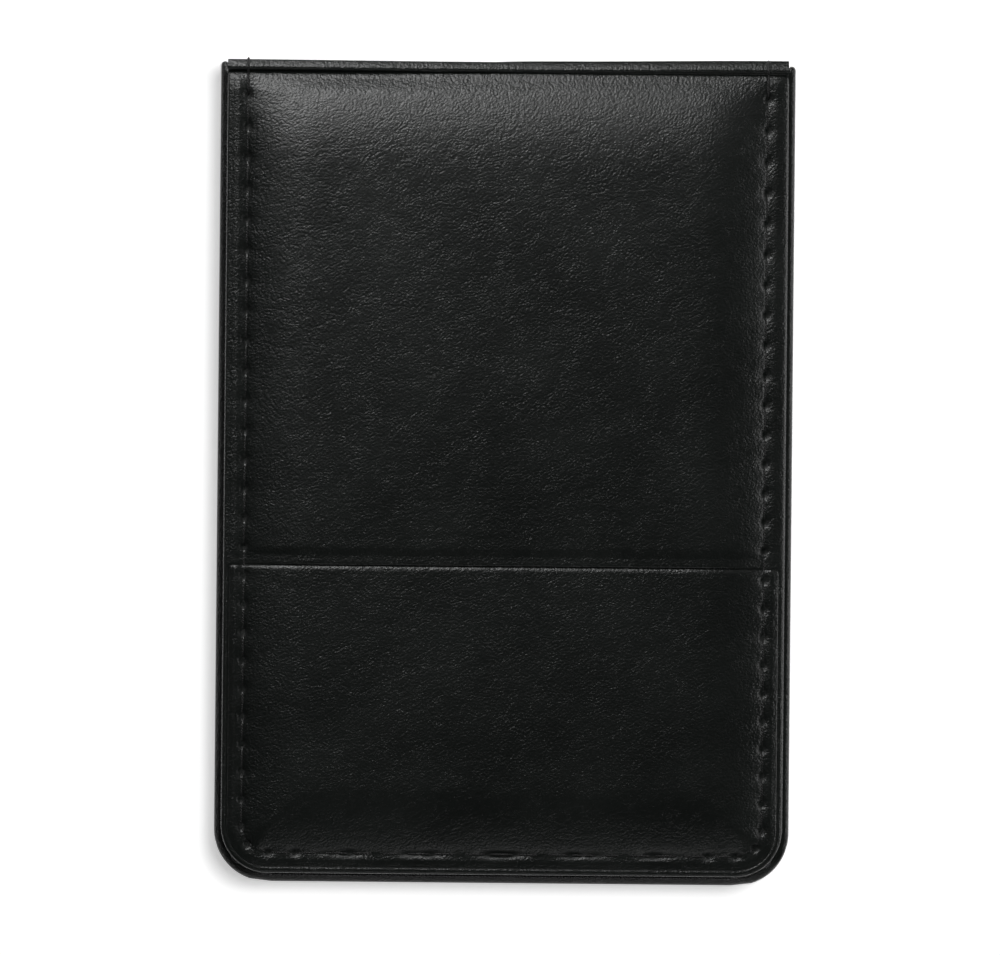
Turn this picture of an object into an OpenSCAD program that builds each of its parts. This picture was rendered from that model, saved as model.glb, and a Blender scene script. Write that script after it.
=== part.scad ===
// Top-fold phone wallet case. It lies closed on its back cover.
// +Z is up and +Y points to the spine. The origin is on the resting face, under the middle of the case.
// Leather skins are turned over boards, the lid is padded, and the case folds along two creases.

/* [Cover] */
// Width of the back cover
cover_w = 99; // [80:0.5:125]
// Length of the closed case, from its lower edge to the outer face of the spine
cover_l = 141; // [115:0.5:175]
// Radius of the two lower corners of the back cover
cover_corner_r = 9; // [7:0.5:12]
// Thickness of the outer leather
leather_t = 0.7; // [0.5:0.05:1]
// Thickness of the board in the back cover
back_board_t = 1; // [0.6:0.1:1.6]
// Thickness of the lining of the back cover
back_lining_t = 0.5; // [0.3:0.1:0.8]

/* [Phone pocket] */
// Height of the room for the phone, between the lining and the pocket panel
room_t = 7.6; // [6.5:0.1:11]
// Distance from the side edge of the back cover to the room for the phone
room_side_inset = 9.5; // [6:0.5:16]
// Distance from the lower edge of the back cover to the room for the phone
room_end_inset = 5.3; // [4.5:0.1:12]
// Height of the pocket panel, from the end of the room to its mouth
phone_pocket_h = 88; // [60:1:110]
// Thickness of the gussets and of the pocket panel
pocket_leather_t = 0.7; // [0.5:0.05:1]
// Thickness of the flange that sews a gusset to the cover
flange_t = 0.6; // [0.4:0.05:0.9]
// Distance from the edge of the back cover to the outer edge of the flange
flange_inset = 1.6; // [1.2:0.1:2.5]
// Width of the binding along the mouth of the phone pocket
binding_w = 5; // [3:0.5:8]
// Thickness of that binding
binding_t = 0.4; // [0.3:0.05:0.6]

/* [Spine] */
// Thickness of the board in the spine
spine_board_t = 0.5; // [0.3:0.1:0.8]
// Thickness of the lining of the spine
spine_lining_t = 0.4; // [0.3:0.1:0.6]
// How far the ends of the spine stop inside the sides of the back cover
spine_end_reveal = 1.5; // [0.8:0.1:3]
// How far the back cover stops short of the outer face of the spine
back_end_reveal = 0.3; // [0.2:0.05:0.6]
// Gap that opens at a crease between two stiff panels
fold_gap = 0.3; // [0.2:0.05:0.5]

/* [Lid] */
// How far the sides of the lid stop inside the back cover
lid_side_reveal = 1.5; // [0.5:0.1:3]
// How far the lower edge of the lid stops inside the back cover
lid_end_reveal = 1.9; // [0.5:0.1:3]
// Radius of the two lower corners of the lid
lid_corner_r = 8; // [7:0.5:11]
// Thickness of the board in the lid
lid_board_t = 0.8; // [0.5:0.1:1.2]
// Thickness of the lining of the lid
lid_lining_t = 0.4; // [0.3:0.1:0.6]
// Gap between the closed lid and the phone pocket
lid_gap = 0.4; // [0.3:0.05:0.8]
// Width of the soft slope from the stitches up to the flat of a pad
pad_slope_w = 6; // [3:0.5:9]

/* [Card pockets] */
// Room for one card between two layers
card_gap = 0.85; // [0.8:0.05:1.2]
// Height of the outer card pocket, from the lower edge of the lid to its mouth
card_pocket_h = 52.7; // [40:0.1:64]
// Width of the bare strip between the mouth and the upper pad
mouth_strip_w = 2.1; // [1:0.1:4]
// Thickness of the foam in the outer card pocket
pocket_foam_t = 0.7; // [0.4:0.1:1.2]
// Thickness of the lining behind that foam
pocket_lining_t = 0.3; // [0.2:0.05:0.5]
// Height of each card slot inside the lid
slot_h = 52; // [44:0.5:63]
// Thickness of the leather of a card slot
slot_leather_t = 0.5; // [0.4:0.05:0.8]
// Distance from the side edge of the lid to the side of a card slot
slot_side_inset = 2.2; // [1.5:0.1:3]
// Distance from the lower edge of the lid to the lower card slot
slot_end_inset = 2.6; // [1.5:0.1:5]
// Distance between the two card slots
slot_spacing = 3; // [1:0.5:4]
// Width of the sewn seam round a card slot
slot_seam_w = 2.4; // [1.5:0.1:4]

/* [Stitching] */
// Distance from the edge of the lid to its row of stitches
stitch_inset = 3.5; // [2.8:0.1:4.4]
// Distance between two stitch holes
stitch_pitch = 5; // [3.5:0.1:7]
// Bare length at each hole, where the thread dives
stitch_hole_l = 1.4; // [1:0.1:2]
// Width of the thread
thread_w = 0.5; // [0.3:0.05:0.7]
// Height of the thread
thread_t = 0.3; // [0.2:0.05:0.35]
// Width of the groove that a row of stitches sinks into
groove_w = 0.9; // [0.8:0.05:1.2]
// Depth of that groove
groove_d = 0.4; // [0.36:0.02:0.5]

/* [Hidden] */
$fn = 64;
eps = 0.01;

// Back cover, from the resting face up
back_t = leather_t + back_board_t + back_lining_t;
back_end_y = cover_l / 2 - back_end_reveal;
room_x = cover_w / 2 - room_side_inset;
room_y0 = -cover_l / 2 + room_end_inset;
mouth_y = room_y0 + phone_pocket_h;
room_top_z = back_t + room_t;
phone_panel_z = room_top_z + pocket_leather_t;
binding_z = phone_panel_z + binding_t;

// Lid, from its inner face up
lid_z = binding_z + lid_gap;
slot_z = lid_z + slot_leather_t;
lid_lining_z = slot_z + card_gap;
lid_board_z = lid_lining_z + lid_lining_t;
lid_skin_z = lid_board_z + lid_board_t;
margin_z = lid_skin_z + leather_t;
card_room_z = margin_z + card_gap;
pocket_foam_z = card_room_z + pocket_lining_t;
pad_under_z = pocket_foam_z + pocket_foam_t;
pad_z = pad_under_z + leather_t;

// Spine and its two creases
spine_t = leather_t + spine_board_t + spine_lining_t;
spine_x = cover_w / 2 - spine_end_reveal;
spine_in_y = cover_l / 2 - spine_t;
spine_hinge_z = back_t / 2;
spine_hinge_y = cover_l / 2 - spine_hinge_z + 0.1;
back_corner_reach = norm([back_end_y - spine_hinge_y, back_t - spine_hinge_z]);
spine_z0 = spine_hinge_z + back_corner_reach + fold_gap;
spine_z1 = margin_z + 0.65;

// Outlines of the lid
lid_x = cover_w / 2 - lid_side_reveal;
lid_y0 = -cover_l / 2 + lid_end_reveal;
lid_y1 = spine_in_y - fold_gap;
stitch_x = lid_x - stitch_inset;
stitch_y0 = lid_y0 + stitch_inset;
stitch_corner_r = lid_corner_r - stitch_inset;
pad_x = stitch_x - groove_w;
pad_y0 = stitch_y0 + groove_w;
pad_y1 = lid_y1 - stitch_inset + groove_w;
card_mouth_y = lid_y0 + card_pocket_h;
upper_pad_y0 = card_mouth_y + mouth_strip_w;
skin_joint_y = card_mouth_y + mouth_strip_w / 2;
slot_x = lid_x - slot_side_inset;
slot_y0 = lid_y0 + slot_end_inset;
slot_corner_r = lid_corner_r - slot_side_inset;

// Rows of stitches in the back cover, which carry on those of the lid, and in the phone pocket
back_stitch_y0 = -cover_l / 2 + (room_end_inset + flange_inset) / 2;
back_stitch_r = cover_corner_r - (cover_w / 2 - stitch_x);
flange_z = back_t + flange_t;
panel_x = room_x + pocket_leather_t;
panel_y0 = room_y0 - pocket_leather_t;
panel_stitch_inset = 1.8;
corner_stitch_reach = 0.955; // a straight stitch lies a little inside the arc that it follows

// An outline with two square upper corners and two round lower ones
module flap_2d(half_w, y0, y1, r) {
    if (r > 0) {
        translate([-half_w + r, y0]) square([2 * (half_w - r), y1 - y0]);
        translate([-half_w, y0 + r]) square([2 * half_w, y1 - y0 - r]);
        for (side = [-1, 1]) translate([side * (half_w - r), y0 + r]) circle(r);
    } else {
        translate([-half_w, y0]) square([2 * half_w, y1 - y0]);
    }
}

// A layer of that outline between two heights
module layer(half_w, y0, y1, r, z0, z1) {
    translate([0, 0, z0]) linear_extrude(z1 - z0) flap_2d(half_w, y0, y1, r);
}

// A soft pad: straight at its foot, with slopes on all four sides up to a flat top
module pad(half_w, y0, y1, r, z0, z1, slope) {
    hull() {
        translate([0, 0, z0]) linear_extrude(eps) flap_2d(half_w, y0, y1, r, $fn = 24);
        translate([0, 0, z1 - eps])
            linear_extrude(eps) flap_2d(half_w - slope, y0 + slope, y1 - slope, max(r - slope, 0), $fn = 24);
    }
}

// A U round the sides and the lower edge, open towards the spine
module u_layer(half_w, y0, y1, r, width, z0, z1) {
    difference() {
        layer(half_w, y0, y1, r, z0, z1);
        layer(half_w - width, y0 + width, y1 + eps, max(r - width, 0), z0 - eps, z1 + eps);
    }
}

// The groove of a U of stitches, sunk from height z
module stitch_groove(x, y0, y1, r, z0, z1) {
    difference() {
        layer(x + groove_w / 2, y0 - groove_w / 2, y1, r + groove_w / 2, z0, z1);
        layer(x - groove_w / 2, y0 + groove_w / 2, y1 + eps, max(r - groove_w / 2, 0), z0 - eps, z1 + eps);
    }
}

// One visible stitch, centred, lying along the local X axis on z = 0
module stitch(pitch) {
    translate([-(pitch - stitch_hole_l) / 2, -thread_w / 2, 0])
        cube([pitch - stitch_hole_l, thread_w, thread_t]);
}

// A straight row of stitches from one point to another, at a whole number of equal pitches
module stitch_row(from, to, z) {
    span = norm(to - from);
    count = max(1, round(span / stitch_pitch));
    turn = atan2(to.y - from.y, to.x - from.x);
    for (i = [0 : count - 1])
        translate([each from + (to - from) * (i + 0.5) / count, z]) rotate(turn) stitch(span / count);
}

// Stitches along a U: two sides, the lower edge, and one across each corner
module stitch_u(x, y0, y1, r, z) {
    for (side = [-1, 1]) {
        stitch_row([side * x, y1], [side * x, y0 + r], z);
        if (r > 2 * stitch_hole_l)
            translate([side * (x - r), y0 + r, z])
                rotate(side * 45) translate([0, -r * corner_stitch_reach, 0]) stitch(min(r, stitch_pitch));
    }
    stitch_row([-x + r, y0], [x - r, y0], z);
}

module back_skin() {
    color([0.06, 0.065, 0.062]) difference() {
        layer(cover_w / 2, -cover_l / 2, back_end_y, cover_corner_r, 0, back_t);
        layer(cover_w / 2 - leather_t, -cover_l / 2 + leather_t, back_end_y - leather_t,
              cover_corner_r - leather_t, leather_t, back_t + eps);
        stitch_groove(stitch_x, back_stitch_y0, back_end_y + eps, back_stitch_r, -eps, groove_d);
    }
}

module back_board() {
    color([0.55, 0.5, 0.42])
        layer(cover_w / 2 - leather_t, -cover_l / 2 + leather_t, back_end_y - leather_t,
              cover_corner_r - leather_t, leather_t, leather_t + back_board_t);
}

// The lining has a groove for the two side rows, from the gussets up to the spine
module back_lining() {
    color([0.1, 0.1, 0.105]) difference() {
        layer(cover_w / 2 - leather_t, -cover_l / 2 + leather_t, back_end_y - leather_t,
              cover_corner_r - leather_t, back_t - back_lining_t, back_t);
        for (side = [-1, 1])
            translate([side * stitch_x - groove_w / 2, mouth_y, back_t - groove_d])
                cube([groove_w, back_end_y - mouth_y, groove_d + eps]);
    }
}

// A side gusset: a wall beside the phone and a flange sewn to the cover
module side_gusset(side) {
    flange_w = room_side_inset - flange_inset;
    mirror([side < 0 ? 1 : 0, 0, 0]) difference() {
        intersection() {
            translate([room_x, panel_y0, back_t]) {
                cube([pocket_leather_t, mouth_y - panel_y0, room_t]);
                cube([flange_w, mouth_y - panel_y0, flange_t]);
            }
            layer(cover_w / 2 - flange_inset, -cover_l / 2 + flange_inset, mouth_y,
                  cover_corner_r - flange_inset, back_t, room_top_z);
        }
        translate([stitch_x - groove_w / 2, panel_y0 - eps, flange_z - groove_d])
            cube([groove_w, mouth_y - panel_y0 + 2 * eps, groove_d + eps]);
    }
}

module gusset_left() {
    color([0.08, 0.08, 0.08]) side_gusset(-1);
}

module gusset_right() {
    color([0.08, 0.08, 0.08]) side_gusset(1);
}

// The gusset across the lower end, between the two side walls
module gusset_bottom() {
    flange_w = room_end_inset - flange_inset;
    color([0.08, 0.08, 0.08]) difference() {
        union() {
            translate([-room_x, panel_y0, back_t]) cube([2 * room_x, pocket_leather_t, room_t]);
            translate([-room_x, room_y0 - flange_w, back_t]) cube([2 * room_x, flange_w, flange_t]);
        }
        translate([-room_x - eps, back_stitch_y0 - groove_w / 2, flange_z - groove_d])
            cube([2 * room_x + 2 * eps, groove_w, groove_d + eps]);
    }
}

module phone_pocket_panel() {
    color([0.07, 0.07, 0.07]) difference() {
        layer(panel_x, panel_y0, mouth_y, 0, room_top_z, phone_panel_z);
        stitch_groove(panel_x - panel_stitch_inset, panel_y0 + panel_stitch_inset, mouth_y - binding_w, 0,
                      phone_panel_z - groove_d, phone_panel_z + eps);
    }
}

module phone_pocket_binding() {
    color([0.09, 0.09, 0.09])
        layer(panel_x, mouth_y - binding_w, mouth_y, 0, phone_panel_z, binding_z);
}

// The row round the outer face, and on the inner face the rows on the flanges and on the lining
module back_stitching() {
    color([0.03, 0.03, 0.03]) {
        stitch_u(stitch_x, back_stitch_y0, back_end_y, back_stitch_r, groove_d - thread_t);
        stitch_row([-room_x, back_stitch_y0], [room_x, back_stitch_y0], flange_z - groove_d);
        for (side = [-1, 1]) {
            stitch_row([side * stitch_x, mouth_y], [side * stitch_x, room_y0], flange_z - groove_d);
            stitch_row([side * stitch_x, back_end_y - leather_t], [side * stitch_x, mouth_y],
                       back_t - groove_d);
        }
    }
}

module phone_pocket_stitching() {
    color([0.03, 0.03, 0.03])
        stitch_u(panel_x - panel_stitch_inset, panel_y0 + panel_stitch_inset, mouth_y - binding_w, 0,
                 phone_panel_z - groove_d);
}

// A tray that wraps the spine board's outer face and its two ends
module spine_skin() {
    color([0.06, 0.065, 0.062]) difference() {
        translate([-spine_x, spine_in_y, spine_z0]) cube([2 * spine_x, spine_t, spine_z1 - spine_z0]);
        translate([-spine_x + leather_t, spine_in_y - eps, spine_z0 - eps])
            cube([2 * (spine_x - leather_t), spine_t - leather_t + eps, spine_z1 - spine_z0 + 2 * eps]);
        for (side = [-1, 1])
            translate([side * stitch_x - groove_w / 2, cover_l / 2 - groove_d, spine_z0 - eps])
                cube([groove_w, groove_d + eps, spine_z1 - spine_z0 + 2 * eps]);
    }
}

module spine_board() {
    color([0.55, 0.5, 0.42])
        translate([-spine_x + leather_t, cover_l / 2 - leather_t - spine_board_t, spine_z0])
            cube([2 * (spine_x - leather_t), spine_board_t, spine_z1 - spine_z0]);
}

module spine_lining() {
    color([0.1, 0.1, 0.105])
        translate([-spine_x + leather_t, spine_in_y, spine_z0])
            cube([2 * (spine_x - leather_t), spine_lining_t, spine_z1 - spine_z0]);
}

// The lid's two side rows run on over the outer face of the spine
module spine_stitching() {
    color([0.03, 0.03, 0.03]) for (side = [-1, 1])
        translate([side * stitch_x, cover_l / 2 - groove_d + thread_t, 0])
            rotate([90, 0, 0]) stitch_row([0, spine_z0], [0, spine_z1], 0);
}

module lid_lining() {
    color([0.1, 0.1, 0.105])
        layer(lid_x - leather_t, lid_y0 + leather_t, lid_y1 - leather_t, lid_corner_r - leather_t,
              lid_lining_z, lid_board_z);
}

module lid_board() {
    color([0.55, 0.5, 0.42])
        layer(lid_x - leather_t, lid_y0 + leather_t, lid_y1 - leather_t, lid_corner_r - leather_t,
              lid_board_z, lid_skin_z);
}

// The turned edge and the margin of the lid, with room inside for the lining and the board
module lid_tray() {
    difference() {
        layer(lid_x, lid_y0, lid_y1, lid_corner_r, lid_lining_z, margin_z);
        layer(lid_x - leather_t, lid_y0 + leather_t, lid_y1 - leather_t, lid_corner_r - leather_t,
              lid_lining_z - eps, lid_skin_z);
    }
}

// The part of a shape on one side of the line where the two skins of the lid meet
module beyond_joint(side) {
    intersection() {
        children();
        translate([-cover_w, side > 0 ? skin_joint_y : skin_joint_y - 2 * cover_l, 0])
            cube([2 * cover_w, 2 * cover_l, 2 * pad_z]);
    }
}

// Room for the upper foam, straight through the margin and then sloping with the pad
module upper_foam_shape() {
    pad(pad_x - leather_t, upper_pad_y0 + leather_t, pad_y1 - leather_t, 0,
        lid_skin_z, pad_under_z, pad_slope_w);
}

// The upper padded panel of the lid
module lid_skin() {
    color([0.06, 0.065, 0.062]) difference() {
        union() {
            beyond_joint(1) lid_tray();
            pad(pad_x, upper_pad_y0, pad_y1, 0, margin_z - eps, pad_z, pad_slope_w);
        }
        upper_foam_shape();
        stitch_groove(stitch_x, stitch_y0, lid_y1 + eps, stitch_corner_r, margin_z - groove_d, margin_z + eps);
    }
}

module lid_foam() {
    color([0.75, 0.75, 0.72]) upper_foam_shape();
}

// The back wall of the outer card pocket, turned round the lower edge of the lid
module pocket_backing() {
    color([0.06, 0.065, 0.062]) difference() {
        beyond_joint(-1) lid_tray();
        for (side = [-1, 1])
            translate([side * stitch_x - groove_w / 2, card_mouth_y, margin_z - groove_d])
                cube([groove_w, mouth_strip_w, groove_d + eps]);
    }
}

// The rolled margin of the outer card pocket, which holds the pocket off its back wall
module card_pocket_welt() {
    welt_w = stitch_inset + groove_w + 0.6;
    color([0.07, 0.075, 0.072]) difference() {
        u_layer(lid_x, lid_y0, card_mouth_y, lid_corner_r, welt_w, margin_z, card_room_z);
        stitch_groove(stitch_x, stitch_y0, card_mouth_y + eps, stitch_corner_r,
                      card_room_z - groove_d, card_room_z + eps);
    }
}

// Room for the foam in the outer card pocket
module pocket_foam_shape() {
    pad(pad_x - leather_t, pad_y0 + leather_t, card_mouth_y - leather_t, stitch_corner_r - groove_w,
        pocket_foam_z, pad_under_z, pad_slope_w / 2);
}

module card_pocket_lining() {
    color([0.1, 0.1, 0.105])
        layer(pad_x - leather_t, pad_y0 + leather_t, card_mouth_y - leather_t, stitch_corner_r - groove_w,
              card_room_z, pocket_foam_z);
}

module card_pocket_foam() {
    color([0.75, 0.75, 0.72]) pocket_foam_shape();
}

// The padded face of the outer card pocket
module card_pocket_panel() {
    color([0.055, 0.06, 0.058]) difference() {
        pad(pad_x, pad_y0, card_mouth_y, stitch_corner_r - groove_w, card_room_z, pad_z, pad_slope_w / 2);
        layer(pad_x - leather_t, pad_y0 + leather_t, card_mouth_y - leather_t, stitch_corner_r - groove_w,
              card_room_z - eps, pocket_foam_z);
        pocket_foam_shape();
    }
}

// Rows on the lid: beside the upper panel, then round the card pocket on top of its welt
module lid_stitching() {
    color([0.03, 0.03, 0.03]) {
        for (side = [-1, 1])
            stitch_row([side * stitch_x, lid_y1], [side * stitch_x, card_mouth_y], margin_z - groove_d);
        stitch_u(stitch_x, stitch_y0, card_mouth_y, stitch_corner_r, card_room_z - groove_d);
    }
}

// Lower end of a card slot inside the lid; slot 0 is the one nearest the lower edge
function slot_start(i) = slot_y0 + i * (slot_h + slot_spacing);
function slot_r(i) = i == 0 ? slot_corner_r : 0;

module slot_seam(i) {
    color([0.07, 0.07, 0.07])
        u_layer(slot_x, slot_start(i), slot_start(i) + slot_h, slot_r(i), slot_seam_w, slot_z, lid_lining_z);
}

module card_slot(i) {
    color([0.08, 0.08, 0.08]) difference() {
        layer(slot_x, slot_start(i), slot_start(i) + slot_h, slot_r(i), lid_z, slot_z);
        stitch_groove(slot_x - slot_seam_w / 2, slot_start(i) + slot_seam_w / 2,
                      slot_start(i) + slot_h + eps, max(slot_r(i) - slot_seam_w / 2, 0),
                      lid_z - eps, lid_z + groove_d);
    }
}

module slot_seam_lower() slot_seam(0);
module slot_seam_upper() slot_seam(1);
module card_slot_lower() card_slot(0);
module card_slot_upper() card_slot(1);

module slot_stitching() {
    color([0.03, 0.03, 0.03]) for (i = [0, 1])
        stitch_u(slot_x - slot_seam_w / 2, slot_start(i) + slot_seam_w / 2, slot_start(i) + slot_h,
                 max(slot_r(i) - slot_seam_w / 2, 0), lid_z + groove_d - thread_t);
}

back_skin();
back_board();
back_lining();
gusset_left();
gusset_right();
gusset_bottom();
phone_pocket_panel();
phone_pocket_binding();
back_stitching();
phone_pocket_stitching();
spine_skin();
spine_board();
spine_lining();
spine_stitching();
lid_lining();
lid_board();
lid_skin();
lid_foam();
pocket_backing();
card_pocket_welt();
card_pocket_lining();
card_pocket_foam();
card_pocket_panel();
lid_stitching();
slot_seam_lower();
slot_seam_upper();
card_slot_lower();
card_slot_upper();
slot_stitching();
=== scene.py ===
"""Top-fold phone wallet in black grained leather: the visible pieces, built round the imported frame.

Lengths are in metres. Z is up, +Y points to the spine, and the closed case lies on its back cover.
"""

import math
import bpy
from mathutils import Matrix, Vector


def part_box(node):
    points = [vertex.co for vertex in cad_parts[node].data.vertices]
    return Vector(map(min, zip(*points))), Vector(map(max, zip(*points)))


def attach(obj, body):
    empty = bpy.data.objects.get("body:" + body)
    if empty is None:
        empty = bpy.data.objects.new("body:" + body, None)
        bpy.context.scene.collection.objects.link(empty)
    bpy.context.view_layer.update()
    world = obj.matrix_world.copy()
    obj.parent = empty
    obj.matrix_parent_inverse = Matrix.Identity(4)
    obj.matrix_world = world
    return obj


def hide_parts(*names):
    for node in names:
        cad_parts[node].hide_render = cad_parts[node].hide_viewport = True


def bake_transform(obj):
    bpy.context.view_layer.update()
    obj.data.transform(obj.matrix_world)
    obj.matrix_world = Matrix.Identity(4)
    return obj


bl_info = {
    "name": "Top-fold Phone Wallet",
    "version": (1, 0, 0),
    "blender": (4, 5, 0),
    "location": "View3D > Sidebar > Wallet",
    "description": "Builds the leather, lining, padding and stitching of a top-fold phone wallet",
    "category": "Add Mesh",
}

import bmesh
import bpy
import numpy as np
from bpy.props import FloatProperty, FloatVectorProperty, PointerProperty
from mathutils import Vector

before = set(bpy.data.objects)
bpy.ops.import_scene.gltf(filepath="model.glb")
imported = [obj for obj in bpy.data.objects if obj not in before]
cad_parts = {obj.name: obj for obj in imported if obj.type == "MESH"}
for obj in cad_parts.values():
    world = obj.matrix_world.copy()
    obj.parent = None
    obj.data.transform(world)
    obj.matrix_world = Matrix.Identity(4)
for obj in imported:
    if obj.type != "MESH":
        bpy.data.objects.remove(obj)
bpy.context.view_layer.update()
MM = 0.001

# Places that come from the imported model
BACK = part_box("back_skin")
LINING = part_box("back_lining")
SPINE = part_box("spine_skin")
SPINE_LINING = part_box("spine_lining")
LID_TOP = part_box("lid_skin")
LID_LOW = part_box("pocket_backing")
LID_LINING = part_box("lid_lining")
LID_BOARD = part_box("lid_board")
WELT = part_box("card_pocket_welt")
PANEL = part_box("phone_pocket_panel")
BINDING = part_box("phone_pocket_binding")
GUSSET_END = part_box("gusset_bottom")
SLOTS = (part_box("card_slot_lower"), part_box("card_slot_upper"))

LID_X = LID_TOP[1].x
LID_Y0 = LID_LOW[0].y
LID_Y1 = LID_TOP[1].y
LID_UNDER = LID_TOP[0].z
MARGIN_Z = LID_LOW[1].z
PAD_Z = LID_TOP[1].z
MOUTH_Y = WELT[1].y
SPINE_MID_Z = (SPINE[0].z + SPINE[1].z) / 2

# Corners of the covers, and of pieces that are cut nearly square
LID_CORNER = 8 * MM
BACK_CORNER = 9 * MM
CUT_CORNER = 0.6 * MM

# Stitching
SIDE_ROW_TOP_Y = LID_Y1 - 4.1 * MM
CORNER_HOLE_ANGLE = math.radians(42)
HOLE_REACH = 0.6 * MM
HOLE_DEPTH = 0.62 * MM
HOLE_MARK_REACH = 0.62 * MM
DIP_REACH = 1.4 * MM
PANEL_STITCH_INSET = 1.8 * MM
SLOT_STITCH_INSET = 1.2 * MM
FINE_PITCH = 4.4 * MM
STITCH_LENGTH_SHARE = 0.78
SPINE_STITCH_LENGTH = 3.3 * MM

# Leather, lining and filling
GRAIN_DEPTH = 0.066 * MM
GRAIN_SLANT = math.radians(28)
POCKET_LEATHER_T = 0.26 * MM
SLOT_LEATHER_T = 0.2 * MM
LINING_T = 0.25 * MM
MOUTH_ROLL = 0.4 * MM
SLOT_ROLL = 0.24 * MM
TURN_UNDER = 4 * MM
GUSSET_T = 0.6 * MM
GUSSET_WALL = 0.7 * MM
FILLING_INSET = 5.4 * MM
LID_BOARD_T = 0.34 * MM
BACK_BOARD_Z = 0.75 * MM
BACK_BOARD_T = 0.85 * MM

# The cloth sheet that shapes the crown of a pad
CLOTH_SCALE = 10.0
CLOTH_COLUMNS = 41
CLOTH_FRAMES = 20

SENSOR_W = 36


# ---------------------------------------------------------------- settings


def length_setting(name, description, default, low, high):
    """A length that is given in millimetres."""
    return FloatProperty(name=name, description=description, default=default * MM, min=low * MM,
                         max=high * MM, subtype="DISTANCE", unit="LENGTH")


def colour_setting(name, description, default):
    return FloatVectorProperty(name=name, description=description, default=default, min=0, max=1,
                               subtype="COLOR", size=3)


def light_setting(name, description, default):
    """The power of a light, in watts."""
    return FloatProperty(name=name, description=description, default=default, min=0, max=100)


class WalletSizes(bpy.types.PropertyGroup):
    rim_w: length_setting("Rim width", "Width of the thin rolled rim round the lid", 0.95, 0.5, 2)
    bead_h: length_setting(
        "Bead height", "Height of the raised margin between the rim and the stitches", 0.20, 0, 1)
    stitch_inset: length_setting(
        "Stitch inset", "Distance from the edge of the lid to its stitches", 3.5, 2, 6)
    pad_slope: length_setting(
        "Pad slope", "Width over which a pad rises from its stitches", 11.5, 3, 15)
    shoulder: length_setting(
        "Shoulder", "Width over which the pad falls to the spine crease", 17, 4, 25)
    crown: length_setting(
        "Crown", "How far the middle of the upper pad stands above its rim", 0.5, 0, 2)
    pucker: length_setting("Pucker", "How deep each stitch hole pulls the leather down", 0.15, 0, 0.8)
    thread_w: length_setting("Thread width", "Thickness of the sewing thread", 0.34, 0.2, 0.8)
    leather_t: length_setting(
        "Leather thickness", "Thickness of the outer leather at its turned edges", 0.4, 0.2, 0.8)


class WalletFinish(bpy.types.PropertyGroup):
    leather: colour_setting("Leather", "Colour of the outer leather", (0.0052, 0.0064, 0.0057))
    inner: colour_setting("Inner leather", "Colour of the pockets inside", (0.020, 0.020, 0.0205))
    lining: colour_setting("Lining", "Colour of the woven lining", (0.032, 0.032, 0.035))
    thread: colour_setting("Thread", "Colour of the sewing thread", (0.007, 0.007, 0.007))
    grain: length_setting("Grain size", "Width of one pebble of the grain", 0.38, 0.3, 3)
    gloss: FloatProperty(
        name="Roughness", description="Roughness of the outer leather",
        default=0.345, min=0.05, max=1, subtype="FACTOR")


class WalletStage(bpy.types.PropertyGroup):
    view_w: length_setting("View width", "Width of floor that the camera sees", 172.4, 100, 1000)
    lens: FloatProperty(
        name="Lens", description="Focal length in millimetres", default=400, min=50, max=1000)
    top_light: light_setting("Top light", "Power of the soft light beyond the spine", 1.6)
    sky_light: light_setting("Sky light", "Power of the wide dim light overhead that shows up the grain", 0.3)
    side_light: light_setting("Side light", "Power of the low light on the right", 2.3)
    fill_light: light_setting("Fill light", "Power of the overhead light that lights the floor", 16.0)
    floor_glow: FloatProperty(
        name="Floor glow", description="Light that the white floor gives off by itself",
        default=0.52, min=0, max=4)


# ---------------------------------------------------------------- meshes


def smooth(u):
    """0 below 0, 1 above 1, and an even ease between them."""
    u = np.clip(u, 0, 1)
    return u * u * (3 - 2 * u)


def eased(x, points):
    """A curve through (x, value) points that is level at each of them."""
    xs, values = zip(*points)
    i = np.clip(np.searchsorted(xs, x) - 1, 0, len(xs) - 2)
    xs, values = np.array(xs), np.array(values)
    return values[i] + (values[i + 1] - values[i]) * smooth((x - xs[i]) / (xs[i + 1] - xs[i]))


def add_mesh(name, points, faces, material):
    """A piece of points and faces, in which points that fall together are merged."""
    mesh = bpy.data.meshes.new(name)
    mesh.from_pydata([tuple(p) for p in points], [], faces)
    edit = bmesh.new()
    edit.from_mesh(mesh)
    bmesh.ops.remove_doubles(edit, verts=edit.verts, dist=2e-6)
    bmesh.ops.dissolve_degenerate(edit, edges=edit.edges, dist=1e-7)
    edit.to_mesh(mesh)
    edit.free()
    mesh.shade_smooth()
    piece = bpy.data.objects.new(name, mesh)
    bpy.context.scene.collection.objects.link(piece)
    piece.data.materials.append(material)
    return piece


def give_thickness(piece, thickness):
    """Thickness on the inner side of a sheet, as a real wall."""
    solid = piece.modifiers.new("Wall", "SOLIDIFY")
    solid.thickness = thickness
    solid.offset = -1
    solid.use_even_offset = False
    bake_modifiers(piece)


def bake_modifiers(piece):
    """Makes what the modifiers do into the mesh itself."""
    bpy.context.view_layer.update()
    graph = bpy.context.evaluated_depsgraph_get()
    mesh = bpy.data.meshes.new_from_object(piece.evaluated_get(graph))
    piece.modifiers.clear()
    piece.data = mesh
    mesh.shade_smooth()


def steps(start, stop, spacing):
    """Even positions from start to stop, about that far apart, without the last one."""
    count = max(1, round(abs(stop - start) / spacing))
    return [start + (stop - start) * i / count for i in range(count)]


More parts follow.
